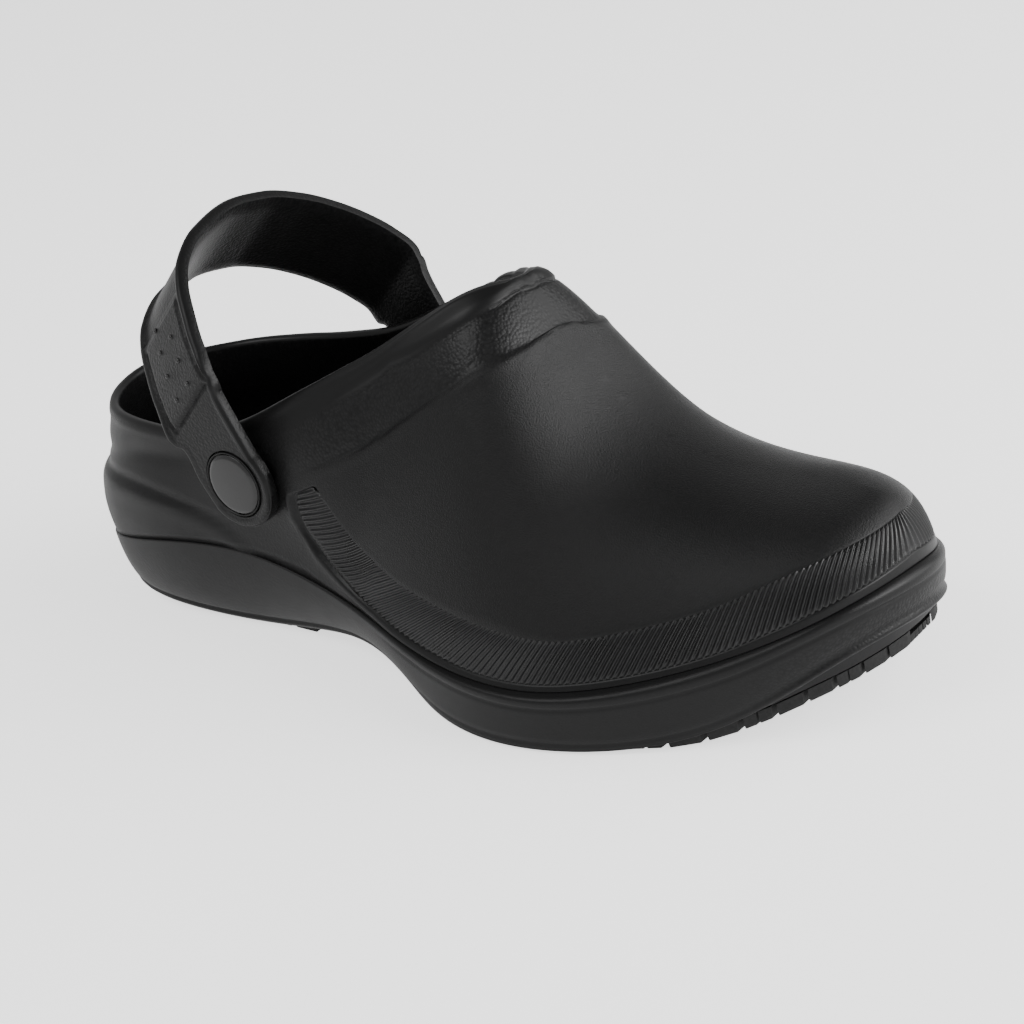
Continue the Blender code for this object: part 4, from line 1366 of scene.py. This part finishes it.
@dataclass
class HeelStrap:
    """The U band behind the heel, with raised edges and a panel of small dots on each arm."""

    pivot: tuple[float, float] = (-56, 57)
    tilt: float = 46
    thickness: float = 4.4
    path: tuple[tuple[float, float, float], ...] = (
        (-14, 47.9, 47.9), (0, 47.9, 47.9), (14, 47.9, 47.9), (24, 47.9, 48.4), (34, 44.6, 45.2),
        (43, 40, 40), (51, 35, 33.6), (58.2, 28, 25.7), (64.5, 15.8, 14.3), (67.2, 0, 0),
    )
    low_edge: Line = ((0, -14), (9, -11.6), (18.5, -7.5), (21.5, -9.5), (30, -7.8), (45, -7.5), (67.2, -8))
    high_edge: Line = ((0, 14), (9, 17.2), (18.5, 21), (21.5, 23), (30, 25.5), (45, 26.5), (67.2, 27))
    pad_radius: float = 14
    pad_from: float = 0.05
    pad_steps: int = 26
    pad_fade: tuple[float, float] = (-12, -2)
    pad_loss: float = 0.6
    near: float = 0.6
    least_end: float = 0.01
    bead_edge: tuple[float, float] = (1.8, 3.2)
    bead_height: float = 1.0
    rear_start: tuple[float, float] = (20, 24)
    rear_least: float = 0.25
    top_start: tuple[float, float] = (50.5, 52)
    edge_round: float = 1.1
    floor_share: float = 0.55
    top_step: float = 0.75
    panel_rise: float = 0.35
    panel: tuple[float, float, float, float] = (23.5, 50.0, -3.2, 22.5)
    panel_edge: float = 0.9
    panel_groove: float = 0.7
    groove_place: float = 0.35
    groove_width: float = 0.45
    groove_end: tuple[float, float] = (47.5, 49.5)
    rear_dots: tuple[float, ...] = (28.5, 36, 43.3, 50.0)
    front_dots: tuple[float, ...] = (28.2, 35.5, 42.8)
    dot_across: tuple[float, float] = (5.8, 14.6)
    dot_radius: float = 0.8
    dot_height: float = 0.6
    dot_sides: int = 16
    dot_profile: Line = ((-0.5, 1.0), (0.0, 1.0), (0.45, 0.86), (0.8, 0.55), (0.98, 0.2))
    seat_radius: float = 10.6
    seat_y: float = 45.7
    seat_reach: float = 60.0
    step: float = 0.55
    across_steps: int = 52
    back_steps: int = 14
    even: float = 0.65
    taper_width: float = 8
    curl_share: float = 0.05
    grain_step: float = 0.55
    grain_edge: tuple[float, float] = (2.2, 3.2)
    spark: float = 0.3
    sharp: float = 60

    def spot(self, reach: Array, side: Array, across: Array) -> Array:
        """Points of the strap from their reach, side position and place across the band."""
        turn = math.radians(self.tilt)
        x = self.pivot[0] - reach * math.cos(turn) + across * math.sin(turn)
        z = self.pivot[1] + reach * math.sin(turn) + across * math.cos(turn)
        return np.stack([x, side + 0 * x, z], -1)

    def samples(self) -> tuple[Array, Array, Array]:
        """Samples along the band.

        Returns:
            Reach and side position of each, the level direction inwards, and the sign of the arm.
        """
        path = np.array(self.path, float)
        lateral = np.column_stack([path[:, 0], -path[:, 1]])
        medial = np.column_stack([path[:, 0], path[:, 2]])
        whole = np.concatenate([lateral, medial[-2::-1]])
        run = np.concatenate([[0], np.cumsum(np.linalg.norm(np.diff(whole, axis=0), axis=1))])
        reach_line = list(zip(run, whole[:, 0]))
        side_line = list(zip(run, whole[:, 1]))
        pad = self.pad_radius * (1 - np.cos(np.linspace(self.pad_from, math.pi / 2, self.pad_steps)))
        bend = run[len(lateral) - 1]
        arm = np.linspace(self.pad_radius, bend, int((bend - self.pad_radius) / self.step))[1:]
        first = np.concatenate([pad, arm])
        second = run[-1] - first[:-1] * (run[-1] - bend) / bend
        s = np.concatenate([first, second[::-1]])
        points = np.column_stack([smooth_line(reach_line, s), smooth_line(side_line, s)])
        small = self.near
        ahead = np.column_stack([smooth_line(reach_line, s + small), smooth_line(side_line, s + small)])
        behind = np.column_stack([smooth_line(reach_line, s - small), smooth_line(side_line, s - small)])
        along = ahead - behind
        along /= np.linalg.norm(along, axis=1)[:, None]
        return points, np.column_stack([-along[:, 1], along[:, 0]]), np.sign(points[:, 1] + TINY)

    def edges(self, reach: Array) -> tuple[Array, Array]:
        """Low and high edge of the band at each reach."""
        round_end = np.sqrt(np.maximum(self.pad_radius ** 2 - reach ** 2, self.least_end))
        low = np.where(reach < 0, -round_end, smooth_line(self.low_edge, reach))
        high = np.where(reach < 0, round_end, smooth_line(self.high_edge, reach))
        return low, high

    def depth(self, reach: Array, across: Array, low: Array, high: Array) -> Array:
        """Depth of the outer face under the top of its beads.

        Args:
            reach: Reach of each point from the pivot.
            across: Place of each point across the band.
            low: Low edge there.
            high: High edge there.

        Returns:
            One depth per point, in millimetres.
        """
        radius = np.hypot(reach, across)
        to_high = np.where(reach < 0, self.pad_radius - radius, high - across)
        to_low = np.where(reach < 0, self.pad_radius - radius, across - low)
        front = 1 - ramp(to_high, *self.bead_edge)
        rear = 1 - ramp(to_low, *self.bead_edge)
        round_share = 1 - ramp(across, *self.pad_fade)
        pad_bead = np.where(reach < 0, 1 - self.pad_loss * round_share, 1)
        least = np.where(reach < 0, pad_bead, self.rear_least)
        rear_bead = np.maximum(ramp(reach, *self.rear_start), least)
        bead = np.maximum(front * pad_bead, rear * rear_bead)
        floor = self.bead_height * (self.floor_share + self.top_step * ramp(reach, *self.top_start))
        start, stop, left, right = self.panel
        reach_off = np.abs(reach - (start + stop) / 2) - (stop - start) / 2
        side_off = np.abs(across - (left + right) / 2) - (right - left) / 2
        off = np.maximum(reach_off, side_off)
        on_panel = 1 - ramp(off, -self.panel_edge, 0)
        depth = floor * (1 - bead)
        depth = depth - self.panel_rise * on_panel * (1 - bead)
        groove = bell(off - self.groove_place, self.groove_width) * (1 - ramp(reach, *self.groove_end))
        depth = depth + self.panel_groove * groove
        edge = np.minimum(to_high, to_low)
        return depth + (1 - ramp(edge, 0, self.edge_round)) ** 2

    def build(self) -> bpy.types.Object:
        """Builds the band and cuts the seats of the rivets."""
        points, inward, _ = self.samples()
        reach = points[:, 0]
        low, high = self.edges(reach)
        share = 0.5 - 0.5 * np.cos(np.linspace(0, math.pi, self.across_steps))
        share = (1 - self.even) * share + self.even * np.linspace(0, 1, self.across_steps)
        across = low[:, None] + (high - low)[:, None] * share[None, :]
        wide = np.broadcast_to(reach[:, None], across.shape)
        depth = self.depth(wide, across, low[:, None], high[:, None])
        taper = np.clip((high - low) / self.taper_width, 0, 1)
        front = []
        for k in range(self.across_steps):
            spot = points + inward * depth[:, k:k + 1]
            front.append(self.spot(spot[:, 0], spot[:, 1], across[:, k]))
        back = []
        for v in np.linspace(0, 1, self.back_steps):
            curl = (1 - ramp(min(v, 1 - v), 0, self.curl_share)) * taper
            spot = points + inward * (self.thickness - curl)[:, None]
            back.append(self.spot(spot[:, 0], spot[:, 1], high + (low - high) * v))
        rows = np.stack(front + back + front[:1])
        pebble = np.ones(rows.shape[:2])
        row = np.arange(self.across_steps)
        edge_rows = np.minimum(row, row[::-1])
        pebble[:self.across_steps] = ramp(edge_rows * self.grain_step, *self.grain_edge)[:, None]
        pebble[-1] = 0
        maker = MeshMaker("heel_strap_band")
        index = maker.grid(rows, False, pebble, self.spark)
        maker.fan(index[:-1, 0])
        maker.fan(index[:-1, -1])
        item = maker.finish()
        for side in Side:
            self.cut_seat(item, side)
        return item

    def cut_seat(self, item: bpy.types.Object, side: Side) -> None:
        """Cuts the round seat of one rivet's cup into the band."""
        walls = ((self.seat_radius, self.seat_y), (self.seat_radius, self.seat_reach))
        tool = Turned("seat_cutter", walls, self.pivot).build(side)
        cut = item.modifiers.new("seat", "BOOLEAN")
        cut.operation = "DIFFERENCE"
        cut.solver = "EXACT"
        cut.object = tool
        bpy.context.view_layer.update()
        shaped = bpy.data.meshes.new_from_object(item.evaluated_get(bpy.context.evaluated_depsgraph_get()))
        item.modifiers.clear()
        item.data = shaped
        bpy.data.objects.remove(tool, do_unlink=True)

    def build_dots(self) -> bpy.types.Object:
        """Builds the small raised dots of both panels as one joined mesh."""
        maker = MeshMaker("strap_dots")
        points, inward, arm = self.samples()
        for side in Side:
            mine = arm == side.value
            order = np.argsort(points[mine, 0])
            reach_line = points[mine, 0][order]
            for across, reaches in zip(self.dot_across, (self.rear_dots, self.front_dots)):
                for reach in reaches:
                    y = np.interp(reach, reach_line, points[mine, 1][order])
                    level = inward[mine][order].T
                    into = np.array([np.interp(reach, reach_line, part) for part in level])
                    into /= np.linalg.norm(into)
                    self.dot(maker, reach, float(y), into, across)
        return maker.finish()

    def dot(self, maker: MeshMaker, reach: float, side: float, into: Array, across: float) -> None:
        """Adds one dome.

        Args:
            maker: Mesh that takes the dome.
            reach: Reach of its middle from the pivot.
            side: Side position of the band there.
            into: Level direction into the band.
            across: Place of its middle across the band.
        """
        floor = self.bead_height * self.floor_share - self.panel_rise
        rows = []
        angles = np.linspace(0, 2 * math.pi, self.dot_sides, endpoint=False)
        for lift, size in self.dot_profile:
            deep = floor - lift * self.dot_height
            along = self.dot_radius * size * np.cos(angles)
            spot_reach = reach + into[0] * deep + along * into[1] * np.sign(side)
            spot_side = side + into[1] * deep - along * into[0] * np.sign(side)
            rows.append(self.spot(spot_reach, spot_side, across + self.dot_radius * size * np.sin(angles)))
        index = maker.grid(np.stack(rows), True)
        maker.fan(index[0])
        maker.fan(index[-1])

    def dress(self, band: bpy.types.Object, dots: bpy.types.Object) -> None:
        """Gives the band and its dots their finish and place in the frame."""
        for item, finish in ((band, bpy.data.materials[FOAM.name]), (dots, DOT.material())):
            item.data.materials.clear()
            item.data.materials.append(finish)
            item.data.shade_smooth()
            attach(item, BODY)
        band.data.set_sharp_from_angle(angle=math.radians(self.sharp))
        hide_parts("heel_strap")


@dataclass
class Turned:
    """A round piece about a rivet's axis, from rows of radius and distance from the shoe's middle."""

    name: str
    profile: Line
    pivot: tuple[float, float] = (-56, 57)
    steps: int = 64
    sharp: float = 35

    def build(self, side: Side) -> bpy.types.Object:
        """Builds the piece on one side of the shoe."""
        angles = np.linspace(0, 2 * math.pi, self.steps, endpoint=False)
        rows = []
        for radius, distance in self.profile:
            x = self.pivot[0] + radius * np.cos(angles)
            z = self.pivot[1] + radius * np.sin(angles)
            rows.append(np.column_stack([x, np.full(self.steps, side.value * distance), z]))
        maker = MeshMaker(self.name)
        index = maker.grid(np.stack(rows), True)
        maker.fan(index[0])
        maker.fan(index[-1])
        item = maker.finish()
        item.data.set_sharp_from_angle(angle=math.radians(self.sharp))
        return item


@dataclass
class Rivet:
    """Post with an inner flange and an outer cup, and the plain gloss badge in the cup."""

    side: Side
    seat: float = 45.7
    gap: float = 0.3
    cup_radius: float = 10.2
    badge_radius: float = 9.3
    post_radius: float = 3.5
    flange_radius: float = 6.8
    flange_y: float = 37.6

    def build(self) -> tuple[bpy.types.Object, bpy.types.Object]:
        """Builds the rivet and its badge."""
        word = self.side.name.lower()
        flange = self.flange_y
        seat = self.seat
        bore = self.badge_radius + self.gap
        rivet = Turned("rivet_cup_" + word, (
            (self.flange_radius - 2.2, flange - 2.2), (self.flange_radius - 1.2, flange - 2.05),
            (self.flange_radius - 0.4, flange - 1.6), (self.flange_radius, flange - 1.0),
            (self.flange_radius, flange), (self.post_radius, flange), (self.post_radius, seat + self.gap),
            (self.cup_radius, seat + self.gap),
            (self.cup_radius, seat + 1.75), (self.cup_radius - 0.15, seat + 2.0), (bore + 0.15, seat + 2.0),
            (bore, seat + 1.85), (bore, seat + 1.2),
        )).build(self.side)
        back = seat + 1.2 + self.gap
        r = self.badge_radius
        badge = Turned("badge_disc_" + word, (
            (r, back), (r, back + 0.35), (r - 0.15, back + 0.5), (r - 0.9, back + 0.85),
            (r - 1.2, back + 0.92),
            (0.8 * r, back + 1.0), (0.6 * r, back + 1.12), (0.4 * r, back + 1.22), (0.2 * r, back + 1.28),
            (0.05 * r, back + 1.3),
        )).build(self.side)
        return rivet, badge

    def dress(self, rivet: bpy.types.Object, badge: bpy.types.Object) -> None:
        """Gives both pieces their finish and their place in the frame."""
        word = self.side.name.lower()
        plan = ((rivet, RIVET, "rivet_", "rivet_plastic"), (badge, BADGE, "badge_", "badge_gloss"))
        for item, finish, node, slot in plan:
            known = bpy.data.materials.get(finish.name)
            item.data.materials.append(known if known is not None else finish.material())
            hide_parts(node + word)
            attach(item, BODY)


@dataclass
class Studio:
    """Plain pale floor, soft light and the camera at the photograph's angle."""

    azimuth: float = 43.22
    elevation: float = 24.02
    roll: float = 12.02
    distance: float = 682.4
    focal_px: float = 2387.0
    image_px: float = 1024.0
    target: tuple[float, float, float] = (*SHIFT, 45.0)
    target_px: tuple[float, float] = (494.0, 473.8)
    sensor: float = 36.0
    floor_size: float = 12.0
    floor_tone: float = 0.85
    floor_glow: float = 1.4
    floor_mirrored: float = 0.3
    wall_light: float = 0.6
    ceiling_light: float = 0.2
    wall_top: tuple[float, float] = (25.0, 65.0)
    floor_rough: float = 0.9
    floor_gloss: float = 0.1
    lit_point: tuple[float, float, float] = (0.0, 0.0, 0.05)
    lamps: tuple[Lamp, ...] = (
        Lamp("front", 30, 27, 1.3, (1.6, 1.25), 3.0),
        Lamp("key", 12, 22, 1.2, (0.7, 0.5), 6.5),
        Lamp("high_left", -118, 54, 1.3, (0.8, 0.6), 4.0),
    )

    def axes(self) -> tuple[Vector, Vector, Vector]:
        """Right, up and back axes of the camera."""
        a = math.radians(self.azimuth)
        e = math.radians(self.elevation)
        r = math.radians(self.roll)
        level = Vector((math.cos(a), math.sin(a), 0))
        back = Vector((math.sin(a) * math.cos(e), -math.cos(a) * math.cos(e), math.sin(e)))
        rise = back.cross(level)
        right = level * math.cos(r) - rise * math.sin(r)
        up = level * math.sin(r) + rise * math.cos(r)
        return right, up, back

    def camera(self) -> None:
        """Makes the scene's camera."""
        right, up, back = self.axes()
        data = bpy.data.cameras.new("camera")
        data.sensor_width = self.sensor
        data.lens = self.focal_px / self.image_px * self.sensor
        middle = self.image_px / 2
        data.shift_x = (middle - self.target_px[0]) / self.image_px
        data.shift_y = (self.target_px[1] - middle) / self.image_px
        item = bpy.data.objects.new("camera", data)
        place = Vector(self.target) * MM + back * (self.distance * MM)
        matrix = Matrix((right, up, back)).transposed().to_4x4()
        matrix.translation = place
        item.matrix_world = matrix
        bpy.context.scene.collection.objects.link(item)
        bpy.context.scene.camera = item

    def floor(self) -> None:
        """Makes the pale floor."""
        half = self.floor_size / 2
        data = bpy.data.meshes.new("floor")
        corners = [(-half, -half, 0), (half, -half, 0), (half, half, 0), (-half, half, 0)]
        data.from_pydata(corners, [], [(0, 1, 2, 3)])
        item = bpy.data.objects.new("floor", data)
        bpy.context.scene.collection.objects.link(item)
        material = bpy.data.materials.new("floor_pale")
        material.use_nodes = True
        shader = material.node_tree.nodes["Principled BSDF"]
        shader.inputs["Base Color"].default_value = (self.floor_tone, self.floor_tone, self.floor_tone, 1)
        shader.inputs["Roughness"].default_value = self.floor_rough
        shader.inputs["Specular IOR Level"].default_value = self.floor_gloss
        shader.inputs["Emission Color"].default_value = (1, 1, 1, 1)
        path = material.node_tree.nodes.new("ShaderNodeLightPath")
        glow = material.node_tree.nodes.new("ShaderNodeMapRange")
        glow.inputs["To Min"].default_value = self.floor_glow
        glow.inputs["To Max"].default_value = self.floor_mirrored
        material.node_tree.links.new(path.outputs["Is Glossy Ray"], glow.inputs["Value"])
        material.node_tree.links.new(glow.outputs["Result"], shader.inputs["Emission Strength"])
        data.materials.append(material)

    def area(self, lamp: Lamp) -> None:
        """Adds one soft light that faces the shoe."""
        data = bpy.data.lights.new(lamp.name, "AREA")
        data.shape = "RECTANGLE"
        data.size, data.size_y = lamp.size
        data.energy = lamp.radiance * math.pi * lamp.size[0] * lamp.size[1]
        item = bpy.data.objects.new(lamp.name, data)
        b = math.radians(lamp.bearing)
        h = math.radians(lamp.height)
        toward = Vector((math.cos(b) * math.cos(h), math.sin(b) * math.cos(h), math.sin(h)))
        item.location = Vector(self.lit_point) + toward * lamp.away
        item.rotation_euler = (-toward).to_track_quat("-Z", "Y").to_euler()
        bpy.context.scene.collection.objects.link(item)

    def world(self) -> None:
        """Makes the surroundings: pale walls under a dark ceiling."""
        world = bpy.data.worlds.new("studio")
        world.use_nodes = True
        nodes = world.node_tree.nodes
        links = world.node_tree.links
        ground = nodes["Background"]
        height = nodes.new("ShaderNodeSeparateXYZ")
        links.new(nodes.new("ShaderNodeTexCoord").outputs["Generated"], height.inputs["Vector"])
        fade = nodes.new("ShaderNodeMapRange")
        fade.inputs["From Min"].default_value = math.sin(math.radians(self.wall_top[0]))
        fade.inputs["From Max"].default_value = math.sin(math.radians(self.wall_top[1]))
        fade.inputs["To Min"].default_value = self.wall_light
        fade.inputs["To Max"].default_value = self.ceiling_light
        links.new(height.outputs["Z"], fade.inputs["Value"])
        links.new(fade.outputs["Result"], ground.inputs["Strength"])
        ground.inputs["Color"].default_value = (1, 1, 1, 1)
        bpy.context.scene.world = world

    def lights(self) -> None:
        """Makes the surroundings and the soft lights."""
        self.world()
        for lamp in self.lamps:
            self.area(lamp)

    def build(self) -> None:
        """Builds the whole stage."""
        self.floor()
        self.lights()
        self.camera()


def report(item: bpy.types.Object) -> None:
    """Logs one finished piece with its number of triangles."""
    data = item.data
    data.calc_loop_triangles()
    LOG.info("%s: %d triangles", item.name, len(data.loop_triangles))


def main() -> None:
    """Loads the frame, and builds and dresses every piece."""
    logging.basicConfig(level=logging.INFO, format="%(name)s %(message)s")
    for item in list(bpy.data.objects):
        bpy.data.objects.remove(item, do_unlink=True)
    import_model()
    last = Last()
    upper = Upper(last)
    for part in (upper, RibBand(upper), Midsole(last), Outsole(last), Insole(last)):
        piece = part.build()
        part.dress(piece)
        report(piece)
    strap = HeelStrap()
    band = strap.build()
    dots = strap.build_dots()
    strap.dress(band, dots)
    report(band)
    report(dots)
    for side in Side:
        rivet = Rivet(side)
        pieces = rivet.build()
        rivet.dress(*pieces)
        for piece in pieces:
            report(piece)
    Studio().build()


if __name__ == "__main__":
    main()
